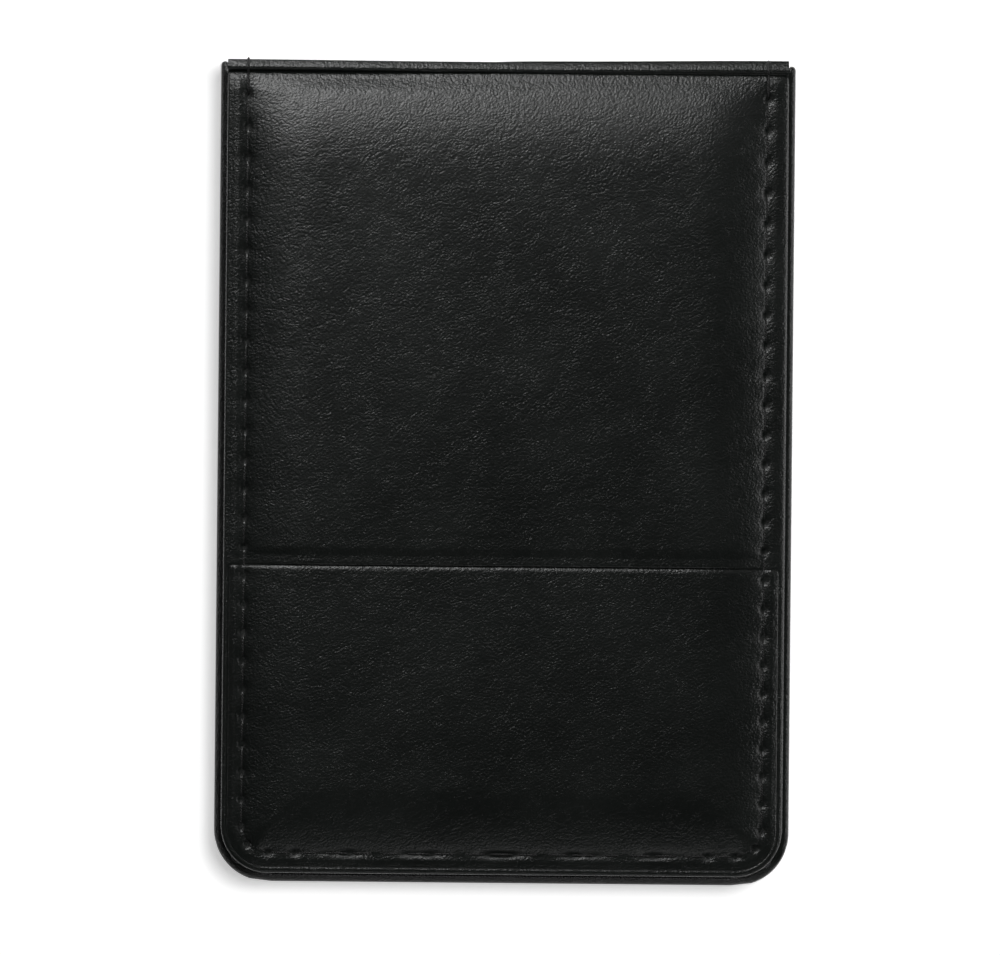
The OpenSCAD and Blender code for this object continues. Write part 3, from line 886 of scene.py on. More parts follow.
def binding():
    """Folded binding along the mouth of the phone pocket, creased along its sewn edge."""
    low, high = BINDING

    def face(x, y, t):
        crease = 0.15 * MM * np.exp(-(((y - low.y - 0.8 * MM) / (0.3 * MM)) ** 2))
        return high.z + 0.06 * MM * smooth(t / (2 * MM)) - crease

    rim = [(0.4 * MM, low.z + 0.05 * MM), (0.0, low.z + 0.1 * MM), (0.0, high.z - 0.18 * MM),
           (0.06 * MM, high.z - 0.06 * MM), (0.2 * MM, high.z)]
    flap = Flap(high.x + 0.15 * MM, low.y, high.y + 0.25 * MM, CUT_CORNER, CUT_CORNER, rim)
    insets = steps(0.3 * MM, 2 * MM, 0.3 * MM) + steps(2 * MM, high.x, 5 * MM)
    ys = steps(low.y + 0.25 * MM, high.y, 0.25 * MM)
    piece = flap.build("phone_pocket_mouth_binding", insets, ys, face, MATERIALS["outer"], cap=True)
    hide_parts("phone_pocket_binding")
    finish(piece, "back_cover")


# ---------------------------------------------------------------- spine


def spine_shift(x):
    """How far the spine stands out: a little at both ends, and most at the right one."""
    return (0.1 * smooth((-x - 10 * MM) / (36 * MM)) + 0.4 * smooth((x - 5 * MM) / (42 * MM))) * MM


def spine_skins():
    """Outer leather of the spine, in a lower half that bends at the back crease and an upper half that
    bends at the lid crease. They meet half way up."""
    s = bpy.context.scene.wallet_sizes
    y, half_w, meet = SPINE[1].y, SPINE[1].x, SPINE_MID_Z
    xs = steps(-half_w, half_w, 0.8 * MM) + [half_w]

    low_path = [(y - 1.6 * MM, 0.32 * MM), (y - 0.9 * MM, 0.22 * MM)]
    low_path += arc(y - 0.75 * MM, 0.97 * MM, 0.75 * MM, -75, 0, 6)
    low_path += [(y, z) for z in steps(1.4 * MM, meet, 0.7 * MM)] + [(y, meet)]
    lower = strip("spine_skin_lower", low_path, xs, MATERIALS["outer"],
                  lambda x, along: (spine_shift(x) * smooth((along - 0.2) / 0.8), 0.0))
    give_wall(lower, s.leather_t)
    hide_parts("spine_skin")
    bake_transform(lower)

    top = SPINE[1].z
    high_path = [(y, meet)] + [(y, z) for z in steps(meet + 0.7 * MM, top - 1.2 * MM, 0.7 * MM)]
    high_path += arc(y - 0.4 * MM, top - 0.85 * MM, 0.4 * MM, 0, 60, 5)
    high_path += [(y - 0.5 * MM, top - 0.33 * MM), (y - 0.9 * MM, top - 0.15 * MM)]
    high_path += arc(y - 1.3 * MM, top - 0.44 * MM, 0.42 * MM, 70, 175, 6)
    high_path += [(LID_Y1 + 0.12 * MM, MARGIN_Z - 0.5 * MM), (LID_Y1 + 0.05 * MM, MARGIN_Z - 0.8 * MM),
                  (LID_Y1 - 0.35 * MM, MARGIN_Z - 0.98 * MM), (LID_Y1 - 1.2 * MM, MARGIN_Z - 1.0 * MM)]
    upper = strip("spine_skin_upper", high_path, xs, MATERIALS["outer"], roll_shift)
    give_wall(upper, s.leather_t)
    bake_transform(upper)


def spine_board():
    """Board in the spine, cut short of the roll at its top."""
    low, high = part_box("spine_board")
    edit = bmesh.new()
    bmesh.ops.create_cube(edit, size=1)
    size = (high.x - low.x - 6 * MM, high.y - low.y, high.z - low.z - 2.3 * MM)
    place = (0, (high.y + low.y) / 2, (high.z + low.z) / 2 - 0.35 * MM)
    for v in edit.verts:
        v.co = [c * d + p for c, d, p in zip(v.co, size, place)]
    mesh = bpy.data.meshes.new("spine_stiffener")
    edit.to_mesh(mesh)
    edit.free()
    piece = bpy.data.objects.new("spine_stiffener", mesh)
    bpy.context.scene.collection.objects.link(piece)
    piece.data.materials.append(MATERIALS["board"])
    edge_bevel(piece, 0.12 * MM)
    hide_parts("spine_board")
    finish(piece, "spine")


def roll_shift(x, along):
    """Shift (out, up) of the upper skin: its roll stands high with a deep crease on the left, and lies
    flatter to the right."""
    out = spine_shift(x) * (1 - smooth((along - 0.5) / 0.5))
    right = smooth((x + 30 * MM) / (40 * MM))
    roll = smooth((along - 0.1) / 0.33) * (1 - smooth((along - 0.78) / 0.1))
    return out, right * (0.3 * MM * smooth((along - 0.82) / 0.06) - 0.85 * MM * roll)


def give_wall(piece, thickness):
    """Thickness, with crisp edges, so that two skins that meet end to end look like one."""
    recalc_sheet(piece)
    give_thickness(piece, thickness)
    piece.data.set_sharp_from_angle(angle=math.radians(60))


def recalc_sheet(piece):
    """Turns a sheet so that its faces point away from the middle of the case."""
    mesh = piece.data
    centre = np.array([0.0, 0.0, SPINE_MID_Z])
    total = sum(float(np.dot(np.array(p.center) - centre, p.normal)) * p.area for p in mesh.polygons)
    if total < 0:
        mesh.flip_normals()


def hinge_linings():
    """Woven lining that carries on over the inside of both creases."""
    half_w, y, meet = SPINE_LINING[1].x, SPINE[0].y, SPINE_MID_Z
    floor = LINING[1].z + 0.03 * MM
    low_path = [(y - 5 * MM, floor), (y - 3 * MM, floor + 0.05 * MM), (y - 1.7 * MM, floor + 0.12 * MM)]
    low_path += arc(y - 1.3 * MM, floor + 1.5 * MM, 1.3 * MM, -75, 0, 6)
    low_path += [(y, z) for z in steps(floor + 2.2 * MM, meet, 0.8 * MM)] + [(y, meet)]
    xs = steps(-half_w, half_w, 2 * MM) + [half_w]
    lower = strip("hinge_lining_lower", low_path, xs, MATERIALS["lining"])
    finish_lining(lower)
    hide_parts("spine_lining")
    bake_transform(lower)

    under = LID_LINING[0].z - 0.03 * MM
    high_path = [(y, meet)] + [(y, z) for z in steps(meet + 0.8 * MM, under - 1.6 * MM, 0.8 * MM)]
    high_path += arc(y - 1.3 * MM, under - 1.4 * MM, 1.3 * MM, 0, 75, 6)
    high_path += [(y - 1.7 * MM, under - 0.08 * MM), (y - 3 * MM, under), (y - 5 * MM, under)]
    upper = strip("hinge_lining_upper", high_path, xs, MATERIALS["lining"])
    finish_lining(upper)
    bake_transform(upper)


def finish_lining(piece):
    """Thickness of a hinge lining, which lies on the inner side of the spine."""
    recalc_sheet(piece)
    piece.data.flip_normals()
    give_thickness(piece, LINING_T)


# ---------------------------------------------------------------- lid


def lid_insets(start):
    """Columns of the lid's faces, by distance from the edge: closest together over the stitches."""
    fine = steps(start, 6.5 * MM, 0.25 * MM)
    return fine + steps(6.5 * MM, 14 * MM, 0.7 * MM) + steps(14 * MM, LID_X, 2 * MM)


def lid_skin():
    """One leather over the whole lid: the padded panel, the bare strip and the back wall of the pocket."""
    s = bpy.context.scene.wallet_sizes
    w = s.rim_w
    rim = [(1.8 * MM, LID_UNDER), (0.7 * MM, LID_UNDER + 0.02 * MM), (0.2 * MM, LID_UNDER + 0.3 * MM),
           (0.0, LID_UNDER + 0.8 * MM), (0.0, MARGIN_Z - 0.5 * MM), (0.04 * MM, MARGIN_Z - 0.32 * MM),
           (0.15 * MM, MARGIN_Z - 0.2 * MM), (0.42 * MM, MARGIN_Z - 0.08 * MM), (w, MARGIN_Z)]
    flap = Flap(LID_X, LID_Y0, LID_Y1, LID_CORNER, 0.8 * MM, rim)
    ys = [LID_Y0 + t for t in steps(w + 0.2 * MM, 8.5 * MM, 0.9 * MM)]
    ys += steps(LID_Y0 + 8.5 * MM, MOUTH_Y - 2 * MM, 3 * MM)
    ys += steps(MOUTH_Y - 2 * MM, MOUTH_Y + 4 * MM, 0.2 * MM)
    ys += steps(MOUTH_Y + 4 * MM, LID_Y1 - 3 * MM, 0.45 * MM)
    ys += steps(LID_Y1 - 3 * MM, LID_Y1 - w - 0.1 * MM, 0.25 * MM)
    insets = lid_insets(w + 0.15 * MM)
    piece = flap.build("lid_skin_padded", insets, ys, upper_height, MATERIALS["outer"], lid_edge)
    mark_holes(piece, lid_stitch_line())
    give_thickness(piece, s.leather_t)
    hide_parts("lid_skin", "pocket_backing")
    finish(piece, "lid")


def turned_mouth(mouth_y, roll):
    """Rows (y, drop) that carry a face over its mouth edge and back underneath."""
    rows = []
    for reach, angles in ((2.3 * roll, (0, 15, 30, 45, 60, 75)), (roll, (90, 115, 140, 165, 180))):
        for a in np.radians(angles):
            rows.append((mouth_y - reach + reach * math.sin(a), roll - roll * math.cos(a)))
    return rows + [(mouth_y - u * TURN_UNDER, 2 * roll + 0.02 * MM * u) for u in (0.3, 0.65, 1.0)]


def card_pocket():
    """The outer card pocket: one leather with its mouth turned under, and its margin inside the lid's rim."""
    s = bpy.context.scene.wallet_sizes
    start = s.rim_w
    rim = [(0.0, MARGIN_Z - 0.12 * MM), (0.05 * MM, MARGIN_Z)]
    flap = Flap(LID_X - start, LID_Y0 + start, MOUTH_Y, LID_CORNER - start, 0, rim, top=False)
    insets = [t - start for t in lid_insets(start + 0.2 * MM)]
    ys = [LID_Y0 + t for t in steps(start + 0.2 * MM, 6.5 * MM, 0.25 * MM)]
    ys += steps(LID_Y0 + 6.5 * MM, MOUTH_Y - 1.3 * MM, 0.45 * MM) + [MOUTH_Y - 1.1 * MM]

    def face(x, y, t):
        return pocket_height(x, y, t + start)

    piece = flap.build("card_pocket_face", insets, ys, face, MATERIALS["outer"], margin_fall,
                       folded=turned_mouth(MOUTH_Y, MOUTH_ROLL))
    mark_holes(piece, lid_stitch_line())
    give_thickness(piece, POCKET_LEATHER_T)
    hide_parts("card_pocket_panel", "card_pocket_welt")
    finish(piece, "lid")


def stiffener(name, node, body, base, thick, inset, corner):
    """Thin board that stiffens a cover."""

    def face(x, y, t):
        return np.full_like(x, base + thick)

    low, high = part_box(node)
    rim = [(0.3 * MM, base), (0.0, base + 0.03 * MM), (0.0, base + thick - 0.04 * MM),
           (0.05 * MM, base + thick)]
    flap = Flap(high.x - inset, low.y + inset, high.y - inset, corner, CUT_CORNER, rim)
    insets = [0.4 * MM, 8 * MM, 25 * MM]
    ys = [low.y + inset + 0.6 * MM] + steps(low.y + inset + 8 * MM, high.y - inset - 1 * MM, 15 * MM)
    piece = flap.build(name, insets, ys, face, MATERIALS["board"], cap=True)
    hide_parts(node)
    finish(piece, body)


def filling(name, replaced, y0, y1, corner, base, height, material):
    """A sheet of padding that follows the leather over it, or a lining under it."""
    half_w = LID_X - FILLING_INSET

    def face(x, y, t):
        return np.maximum(height(x, y, t + FILLING_INSET), base + 0.1 * MM)

    rim = [(0.3 * MM, base), (0.0, base + 0.04 * MM), (0.0, base + 0.1 * MM)]
    flap = Flap(half_w, y0, y1, corner, CUT_CORNER, rim)
    fine = steps(0.1 * MM, 8 * MM, 0.8 * MM) + [8 * MM]
    insets = fine + steps(10 * MM, half_w, 6 * MM)
    ys = [y0 + t for t in fine] + steps(y0 + 10 * MM, y1 - 8 * MM, 3 * MM) + [y1 - t for t in fine[::-1]]
    piece = flap.build(name, insets, ys, face, MATERIALS[material], cap=True)
    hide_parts(replaced)
    finish(piece, "lid")


def fillings():
    """Foam under the upper pad, and foam and lining in the card pocket."""

    def under_pad(x, y, t):
        return lid_edge(x, y, upper_height(x, y, LID_X - np.abs(x))) - 0.7 * MM

    def under_pocket(x, y, t):
        return pocket_height(x, y, t) - 0.45 * MM

    def flat(x, y, t):
        return np.full_like(x, MARGIN_Z + 0.14 * MM)

    y0 = LID_Y0 + FILLING_INSET
    filling("upper_pad_foam", "lid_foam", MOUTH_Y + 4.5 * MM, LID_Y1 - 3.5 * MM, 1 * MM,
            LID_BOARD[0].z + 0.4 * MM, under_pad, "foam")
    filling("card_pocket_foam_sheet", "card_pocket_foam", y0, MOUTH_Y - 2 * MM, 3 * MM,
            MARGIN_Z + 0.2 * MM, under_pocket, "foam")
    filling("card_pocket_twill", "card_pocket_lining", y0, MOUTH_Y - 1.5 * MM, 3 * MM,
            MARGIN_Z + 0.02 * MM, flat, "lining")


def lid_lining():
    """Woven lining on the inside of the lid, glued down inside the turned edge of its leather."""
    low, high = LID_LINING

    def face(x, y, t):
        return np.full_like(x, high.z - low.z)

    rim = [(0.5 * MM, 0.0), (0.05 * MM, 0.02 * MM), (0.0, 0.2 * MM), (0.08 * MM, high.z - low.z - 0.02 * MM)]
    flap = Flap(high.x - 0.7 * MM, low.y + 0.7 * MM, high.y - 0.3 * MM, 7 * MM, 1 * MM, rim)
    insets = [0.4 * MM, 8 * MM, 25 * MM]
    ys = [low.y + 1.2 * MM] + steps(low.y + 9 * MM, high.y - 1 * MM, 12 * MM)
    piece = flap.build("lid_lining_twill", insets, ys, face, MATERIALS["lining"], flip=high.z, cap=True)
    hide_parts("lid_lining")
    finish(piece, "lid")


def slot_holes(low, high):
    """Stitch holes round three sides of a card slot."""
    inset = SLOT_STITCH_INSET
    return u_holes(high.x - inset, low.y + inset, high.y - 3 * MM, 4.6 * MM,
                   FINE_PITCH, FINE_PITCH, FINE_PITCH)


def card_slot(name, low, high, replaced):
    """One card slot under the lid: sewn down flat round three sides, standing off between them, with a
    turned mouth."""
    base = LID_LINING[0].z
    sewn, loose = 0.45 * MM, base - low.z - 0.05 * MM
    holes = slot_holes(low, high)

    def face(x, y, t):
        pull = 0.2 * MM * near_holes(x, y, holes, 0.7 * MM) * (y < high.y - 1 * MM)
        groove = 0.1 * MM * np.exp(-(((t - SLOT_STITCH_INSET) / (0.35 * MM)) ** 2))
        return sewn + (loose - sewn) * smooth((t - 2.0 * MM) / (4.5 * MM)) - pull - groove

    rim = [(0.25 * MM, 0.02 * MM), (0.0, 0.05 * MM), (0.0, 0.28 * MM), (0.1 * MM, 0.42 * MM)]
    flap = Flap(high.x, low.y, high.y, 5.8 * MM, 0, rim, top=False)
    fine = steps(0.3 * MM, 2.1 * MM, 0.3 * MM) + steps(2.1 * MM, 7 * MM, 0.7 * MM)
    insets = fine + steps(7 * MM, high.x, 5 * MM)
    ys = [low.y + t for t in fine] + steps(low.y + 7 * MM, high.y - 1.3 * MM, 0.75 * MM) + [high.y - 0.9 * MM]
    piece = flap.build(name, insets, ys, face, MATERIALS["inner"], flip=base,
                       folded=turned_mouth(high.y, SLOT_ROLL))
    give_thickness(piece, SLOT_LEATHER_T)
    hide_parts(*replaced)
    finish(piece, "lid")


# ---------------------------------------------------------------- stitches


def stitch_tree():
    """Geometry nodes that lay one arched stitch of thread on every point, dipping into a hole at each end.

    Each point carries where its stitch runs (along), which way is out of the leather (out) and its length.
    """
    tree = bpy.data.node_groups.new("Stitch row", "GeometryNodeTree")
    face = tree.interface
    face.new_socket("Geometry", in_out="INPUT", socket_type="NodeSocketGeometry")
    for name, kind, value in (("Thread width", "NodeSocketFloat", 0.3 * MM),
                              ("Dip", "NodeSocketFloat", 0.4 * MM),
                              ("Arch", "NodeSocketFloat", 0.12 * MM),
                              ("Wobble", "NodeSocketFloat", 0.05),
                              ("Seed", "NodeSocketInt", 3)):
        face.new_socket(name, in_out="INPUT", socket_type=kind).default_value = value
    face.new_socket("Material", in_out="INPUT", socket_type="NodeSocketMaterial")
    face.new_socket("Geometry", in_out="OUTPUT", socket_type="NodeSocketGeometry")

    def add(kind, inputs=None, **settings):
        return add_node(tree, kind, inputs, **settings)

    def maths(operation, a, b=0.0):
        return add("ShaderNodeMath", {0: a, 1: b}, operation=operation).outputs[0]

    def xyz(x=0.0, y=0.0, z=0.0):
        return add("ShaderNodeCombineXYZ", {"X": x, "Y": y, "Z": z}).outputs[0]

    def named(name, kind):
        return add("GeometryNodeInputNamedAttribute", {"Name": name}, data_type=kind).outputs["Attribute"]

    get = add("NodeGroupInput").outputs
    down = maths("MULTIPLY", get["Dip"], -1.0)
    shape = add("GeometryNodeCurvePrimitiveBezierSegment", {
        "Resolution": 9, "Start": xyz(-0.5, 0.0, down), "Start Handle": xyz(-0.46, 0.0, get["Arch"]),
        "End Handle": xyz(0.46, 0.0, get["Arch"]), "End": xyz(0.5, 0.0, down)})
    along, out = named("along", "FLOAT_VECTOR"), named("out", "FLOAT_VECTOR")
    length = named("length", "FLOAT")
    turn = add("FunctionNodeAxesToRotation", {"Primary Axis": out, "Secondary Axis": along},
               primary_axis="Z", secondary_axis="X").outputs["Rotation"]
    low = maths("SUBTRACT", 1.0, get["Wobble"])
    high = maths("ADD", 1.0, get["Wobble"])
    vary = add("FunctionNodeRandomValue", {"Min": low, "Max": high, "Seed": get["Seed"]}, data_type="FLOAT")
    vary = [o for o in vary.outputs if o.enabled][0]
    tubes = add("GeometryNodeInstanceOnPoints", {
        "Points": get["Geometry"], "Instance": shape.outputs["Curve"], "Rotation": turn,
        "Scale": xyz(maths("MULTIPLY", length, vary), 1.0, 1.0)})
    curves = add("GeometryNodeRealizeInstances", {"Geometry": tubes.outputs["Instances"]})
    radius = maths("MULTIPLY", get["Thread width"], 0.5)
    round_thread = add("GeometryNodeCurvePrimitiveCircle", {"Resolution": 8, "Radius": radius})
    thread = add("GeometryNodeCurveToMesh", {
        "Curve": curves.outputs["Geometry"], "Profile Curve": round_thread.outputs["Curve"],
        "Fill Caps": True})
    soft = add("GeometryNodeSetShadeSmooth", {"Geometry": thread.outputs["Mesh"]})
    real = add("GeometryNodeRealizeInstances", {"Geometry": soft.outputs["Geometry"]})
    painted = add("GeometryNodeSetMaterial",
                  {"Geometry": real.outputs["Geometry"], "Material": get["Material"]})
    add("NodeGroupOutput", {0: painted.outputs["Geometry"]})
    return tree


def lay_stitches(name, points, along, out, lengths, **values):
    """A stitch at each point: along is where it runs, and out the way out of the leather.

    The other values go to the inputs of the node tree.
    """
    mesh = bpy.data.meshes.new(name)
    mesh.from_pydata(points, [], [])
    for label, kind, field, rows in (("along", "FLOAT_VECTOR", "vector", along),
                                     ("out", "FLOAT_VECTOR", "vector", [out] * len(points)),
                                     ("length", "FLOAT", "value", lengths)):
        data = mesh.attributes.new(label, kind, "POINT").data
        data.foreach_set(field, np.array(rows, np.float32).ravel())
    piece = bpy.data.objects.new(name, mesh)
    bpy.context.scene.collection.objects.link(piece)
    row = piece.modifiers.new("Stitch row", "NODES")
    row.node_group = bpy.data.node_groups.get("Stitch row") or stitch_tree()
    for item in row.node_group.interface.items_tree:
        key = item.name.lower().replace(" ", "_")
        if item.item_type == "SOCKET" and item.in_out == "INPUT" and key in values:
            row[item.identifier] = values[key]
    bake_modifiers(piece)
    return piece


def sew(name, holes, height, out, replaced, body, width=None, share=STITCH_LENGTH_SHARE, dip=0.4 * MM):
    """A row of stitches between neighbouring holes. height gives Z at (x, y); out is +1 or -1 along Z.

    share is the part of the way between two holes that a stitch covers.
    """
    middles, along, lengths = [], [], []
    for (ax, ay), (bx, by) in zip(holes[:-1], holes[1:]):
        run = math.hypot(bx - ax, by - ay)
        middles.append(((ax + bx) / 2, (ay + by) / 2))
        along.append(((bx - ax) / run, (by - ay) / run, 0.0))
        lengths.append(run * share)
    x, y = np.array(middles).T
    width = width or bpy.context.scene.wallet_sizes.thread_w
    piece = lay_stitches(name, list(zip(x, y, height(x, y))), along, (0, 0, out), lengths,
                         thread_width=width, dip=dip, material=MATERIALS["thread"])
    if replaced:
        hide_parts(replaced)
    finish(piece, body)


def stitching():
    """The rows that lie flat: on the lid, under the back cover and on the pockets inside."""
    inset = bpy.context.scene.wallet_sizes.stitch_inset

    def on_lid(x, y):
        t = np.full_like(x, inset)
        z = np.where(y > MOUTH_Y, upper_height(x, y, t), pocket_height(x, y, t))
        return z + 0.04 * MM

    sew("lid_stitches", lid_stitch_line(), on_lid, 1, "lid_stitching", "lid", share=0.76, dip=0.6 * MM)
    sew("back_cover_stitches", back_holes(), lambda x, y: np.full_like(x, 0.22 * MM), -1,
        "back_stitching", "back_cover", width=0.3 * MM)
    sew("phone_pocket_stitches", panel_holes(), lambda x, y: np.full_like(x, PANEL[1].z - 0.12 * MM), 1,
        "phone_pocket_stitching", "back_cover", width=0.28 * MM)
    for label, (low, high), replaced in zip(("lower", "upper"), SLOTS, ("slot_stitching", None)):
        sew("card_slot_stitches_" + label, slot_holes(low, high),
            lambda x, y: np.full_like(x, LID_LINING[0].z - 0.42 * MM), -1, replaced, "lid",
            width=0.26 * MM, dip=0.3 * MM)


def tube(name, path, width, material):
    """A round thread along a path of points, with eight sides."""
    path = [np.array(p, float) for p in path]
    rings = []
    for i, p in enumerate(path):
        ahead = path[min(i + 1, len(path) - 1)] - path[max(i - 1, 0)]
        ahead /= np.linalg.norm(ahead)
        across = np.cross(ahead, (1.0, 0.0, 0.0))
        across /= np.linalg.norm(across)
        other = np.cross(ahead, across)
        turns = [2 * math.pi * k / 8 for k in range(8)]
        rings.append([p + width / 2 * (math.cos(a) * across + math.sin(a) * other) for a in turns])
    return loft(name, rings, material)


def crossing_threads():
    """Where each side row crosses the crease, its thread runs from the lid over the spine."""
    s = bpy.context.scene.wallet_sizes
    first = SIDE_ROW_TOP_Y
    y = SPINE[1].y
    for label, side in (("left", -1), ("right", 1)):
        x = side * (LID_X - s.stitch_inset)
        ys = np.linspace(first, LID_Y1 - 0.5 * MM, 8)
        xs = np.full_like(ys, x)
        zs = lid_edge(xs, ys, upper_height(xs, ys, np.full_like(ys, s.stitch_inset)))
        out = y + spine_shift(x)
        top = SPINE[1].z + roll_shift(x, 0.6)[1]
        path = [(first - 0.1 * MM, zs[0] - 0.3 * MM)]
        path += [(py, pz + 0.18 * MM) for py, pz in zip(ys[1:], zs[1:])]
        path += [(LID_Y1 + 0.1 * MM, top - 0.55 * MM), (y - 1.5 * MM, top), (y - 1.1 * MM, top + 0.1 * MM)]
        path += [(out - 0.6 * MM, top - 0.12 * MM), (out - 0.1 * MM, top - 0.45 * MM),
                 (out + 0.16 * MM, top - 1.0 * MM), (out + 0.1 * MM, top - 1.9 * MM),
                 (out - 0.3 * MM, top - 2.2 * MM)]
        path = [(x, py, pz) for py, pz in path]
        piece = tube("crossing_thread_" + label, path, s.thread_w * 1.15, MATERIALS["thread"])
        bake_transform(piece)


def spine_stitches():
    """The stitches that each side row makes down the outside of the spine."""
    s = bpy.context.scene.wallet_sizes
    x = LID_X - s.stitch_inset
    y = SPINE[1].y + 0.1 * MM
    zs = [SPINE[0].z + u * (SPINE[1].z - SPINE[0].z) for u in (0.14, 0.43, 0.71)]
    points = [(side * x, y + spine_shift(side * x), z) for side in (-1, 1) for z in zs]
    count = len(points)
    piece = lay_stitches("spine_stitches", points, [(0, 0, 1)] * count, (0, 1, 0),
                         [SPINE_STITCH_LENGTH] * count, thread_width=s.thread_w, material=MATERIALS["thread"])
    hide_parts("spine_stitching")
    finish(piece, "spine")


# ---------------------------------------------------------------- stage


def area_light(name, place, target, size, watts, glossy=True):
    """A soft box. One that isn't glossy lights the floor, and the others only make the sheen."""
    light = bpy.data.lights.new(name, "AREA")
    light.shape, light.size, light.size_y, light.energy = "RECTANGLE", size[0], size[1], watts
    lamp = bpy.data.objects.new(name, light)
    lamp.visible_glossy, lamp.visible_diffuse = glossy, not glossy
    lamp.location = place
    lamp.rotation_euler = (Vector(target) - Vector(place)).to_track_quat("-Z", "Y").to_euler()
    bpy.context.scene.collection.objects.link(lamp)


def build_stage():
    """Floor, lights and camera."""
    s = bpy.context.scene.wallet_stage
    corners = [(-2, -2, 0), (2, -2, 0), (2, 2, 0), (-2, 2, 0)]
    floor = add_mesh("floor", corners, [(0, 1, 2, 3)], floor_finish())
    floor.data.shade_flat()
    area_light("Top light", (-0.14, 0.30, 0.30), (0, 0.03, 0), (0.26, 0.18), s.top_light)
    area_light("Sky light", (0.0, 0.38, 0.60), (0, 0, 0), (0.9, 0.6), s.sky_light)
    area_light("Side light", (0.90, 0.08, 0.27), (0, 0, 0.01), (0.6, 0.28), s.side_light)
    area_light("Front light", (0.1, -0.8, 0.5), (0, 0, 0.01), (0.5, 0.25), s.side_light * 0.3)
    area_light("Fill light", (0.28, 0.26, 1.5), (0, 0, 0), (0.35, 0.35), s.fill_light, glossy=False)
    camera = bpy.data.objects.new("Camera", bpy.data.cameras.new("Camera"))
    camera.data.lens, camera.data.sensor_width = s.lens, SENSOR_W
    camera.location = (-0.8 * MM, -0.6 * MM, s.view_w * s.lens / SENSOR_W)
    camera.rotation_euler = (0, 0, math.radians(0.55))
    camera.data.clip_end = 20
    bpy.context.scene.collection.objects.link(camera)
    bpy.context.scene.camera = camera
    bpy.context.scene.view_settings.view_transform = "Standard"
    build_world()


def build_world():
    """A grey room that is light low down and dark overhead."""
    world = bpy.data.worlds.new("Studio")
    bpy.context.scene.world = world
    world.use_nodes = True
    tree = world.node_tree
    coords = add_node(tree, "ShaderNodeTexCoord")
    axes = add_node(tree, "ShaderNodeSeparateXYZ", {0: coords.outputs["Generated"]})
    shade = add_node(tree, "ShaderNodeMapRange", {"Value": axes.outputs["Z"], "From Min": 0.22,
                                                  "From Max": 0.5, "To Min": 0.5, "To Max": 0.02})
    tree.links.new(shade.outputs["Result"], tree.nodes["Background"].inputs["Strength"])


def floor_finish():
    """White paper that glows a little, so that shadows on it stay short and soft."""
    n = Nodes("Floor paper")
    n.shader.inputs["Base Color"].default_value = (0.9, 0.9, 0.9, 1)
    n.shader.inputs["Roughness"].default_value = 0.8
    n.shader.inputs["Specular IOR Level"].default_value = 0.2
    n.shader.inputs["Emission Color"].default_value = (1, 1, 1, 1)
    n.shader.inputs["Emission Strength"].default_value = bpy.context.scene.wallet_stage.floor_glow
    return n.material


# ---------------------------------------------------------------- operators


class WALLET_OT_back_cover(bpy.types.Operator):
    """Builds the outer leather and the lining of the back cover"""
    bl_idname = "wallet.back_cover"
    bl_label = "Back cover"

    def execute(self, context):
        back_cover()
        back_lining()
        return {"FINISHED"}


class WALLET_OT_phone_pocket(bpy.types.Operator):
    """Builds the phone pocket: gussets, face and mouth binding"""
    bl_idname = "wallet.phone_pocket"
    bl_label = "Phone pocket"

    def execute(self, context):
        gusset("phone_pocket_gusset_left", "gusset_left", -1)
        gusset("phone_pocket_gusset_right", "gusset_right", 1)
        gusset_end()
        phone_panel()
        binding()
        return {"FINISHED"}


class WALLET_OT_spine(bpy.types.Operator):
    """Builds the spine's leather and the lining that runs over its creases"""
    bl_idname = "wallet.spine"
    bl_label = "Spine"

    def execute(self, context):
        spine_skins()
        hinge_linings()
        return {"FINISHED"}


class WALLET_OT_lid_pad(bpy.types.Operator):
    """Builds the padded leather of the lid"""
    bl_idname = "wallet.lid_pad"
    bl_label = "Lid pad"

    def execute(self, context):
        lid_skin()
        return {"FINISHED"}


class WALLET_OT_card_pocket(bpy.types.Operator):
    """Builds the outer card pocket and its turned mouth"""
    bl_idname = "wallet.card_pocket"
    bl_label = "Card pocket"

    def execute(self, context):
        card_pocket()
        return {"FINISHED"}


class WALLET_OT_lid_inside(bpy.types.Operator):
    """Builds the lining and the two card slots on the inside of the lid"""
    bl_idname = "wallet.lid_inside"
    bl_label = "Lid inside"

    def execute(self, context):
        lid_lining()
        card_slot("card_slot_lower_leather", *SLOTS[0], ("card_slot_lower", "slot_seam_lower"))
        card_slot("card_slot_upper_leather", *SLOTS[1], ("card_slot_upper", "slot_seam_upper"))
        return {"FINISHED"}


class WALLET_OT_stitching(bpy.types.Operator):
    """Lays every row of stitches"""
    bl_idname = "wallet.stitching"
    bl_label = "Stitching"

    def execute(self, context):
        stitching()
        crossing_threads()
        spine_stitches()
        return {"FINISHED"}


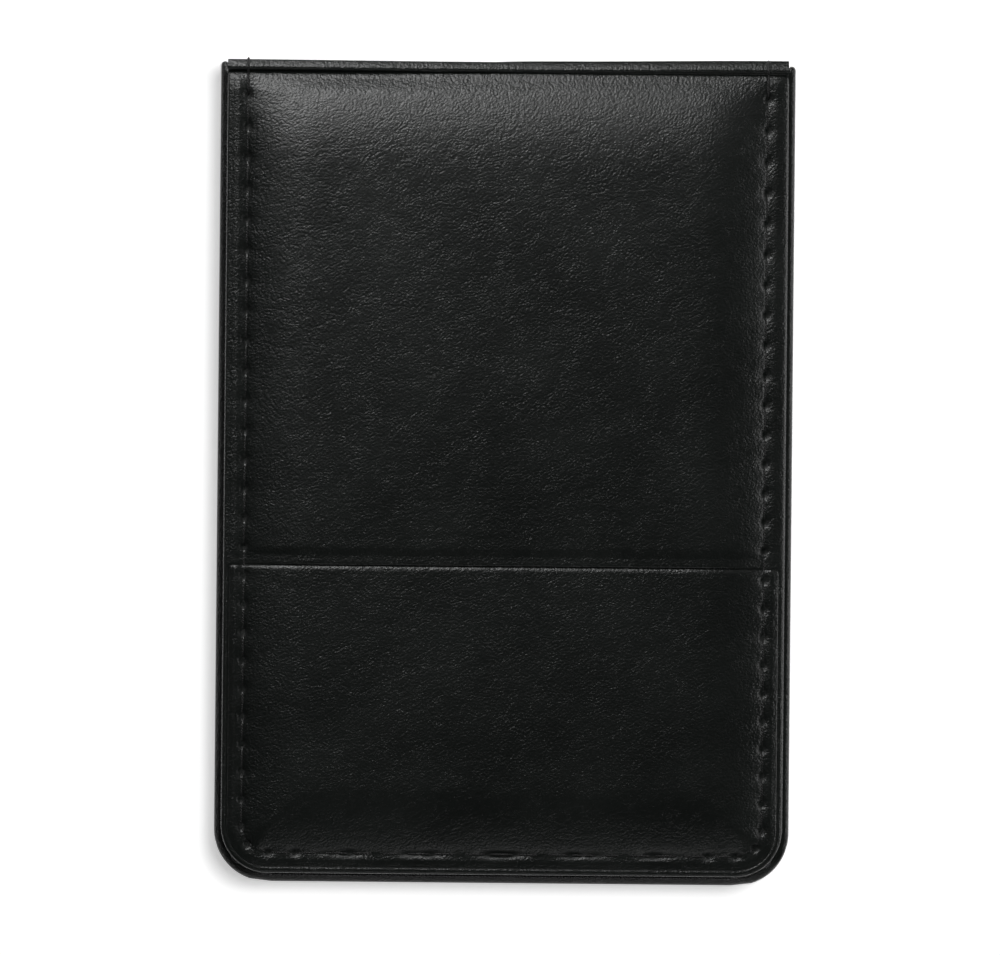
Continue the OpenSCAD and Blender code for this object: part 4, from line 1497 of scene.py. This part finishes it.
class WALLET_OT_fillings(bpy.types.Operator):
    """Builds the foam, the sealed lining and the boards"""
    bl_idname = "wallet.fillings"
    bl_label = "Fillings"

    def execute(self, context):
        fillings()
        spine_board()
        stiffener("lid_stiffener", "lid_board", "lid", LID_BOARD[0].z, LID_BOARD_T, 0.0, 7.3 * MM)
        stiffener("back_stiffener", "back_board", "back_cover", BACK_BOARD_Z, BACK_BOARD_T, 1.2 * MM, 7 * MM)
        return {"FINISHED"}


class WALLET_OT_stage(bpy.types.Operator):
    """Sets up the floor, the lights and the camera"""
    bl_idname = "wallet.stage"
    bl_label = "Stage"

    def execute(self, context):
        build_stage()
        return {"FINISHED"}


class WALLET_OT_materials(bpy.types.Operator):
    """Makes the leather, lining, thread, board and foam finishes"""
    bl_idname = "wallet.materials"
    bl_label = "Finishes"

    def execute(self, context):
        make_materials()
        return {"FINISHED"}


STEPS = (WALLET_OT_materials, WALLET_OT_back_cover, WALLET_OT_phone_pocket, WALLET_OT_spine,
         WALLET_OT_lid_pad, WALLET_OT_card_pocket, WALLET_OT_lid_inside, WALLET_OT_stitching,
         WALLET_OT_fillings, WALLET_OT_stage)


class WALLET_PT_panel(bpy.types.Panel):
    """Sizes, finishes and build steps of the wallet"""
    bl_label = "Phone wallet"
    bl_idname = "WALLET_PT_panel"
    bl_space_type = "VIEW_3D"
    bl_region_type = "UI"
    bl_category = "Wallet"

    def draw(self, context):
        for group in (context.scene.wallet_sizes, context.scene.wallet_finish, context.scene.wallet_stage):
            box = self.layout.box()
            for name in group.__annotations__:
                box.prop(group, name)
        for step in STEPS:
            self.layout.operator(step.bl_idname)


CLASSES = (WalletSizes, WalletFinish, WalletStage) + STEPS + (WALLET_PT_panel,)


def register():
    for cls in CLASSES:
        bpy.utils.register_class(cls)
    bpy.types.Scene.wallet_sizes = PointerProperty(type=WalletSizes)
    bpy.types.Scene.wallet_finish = PointerProperty(type=WalletFinish)
    bpy.types.Scene.wallet_stage = PointerProperty(type=WalletStage)


def unregister():
    del bpy.types.Scene.wallet_stage
    del bpy.types.Scene.wallet_finish
    del bpy.types.Scene.wallet_sizes
    for cls in reversed(CLASSES):
        bpy.utils.unregister_class(cls)


def main():
    register()
    for step in STEPS:
        group, name = step.bl_idname.split(".")
        getattr(getattr(bpy.ops, group), name)()


if __name__ == "__main__":
    main()
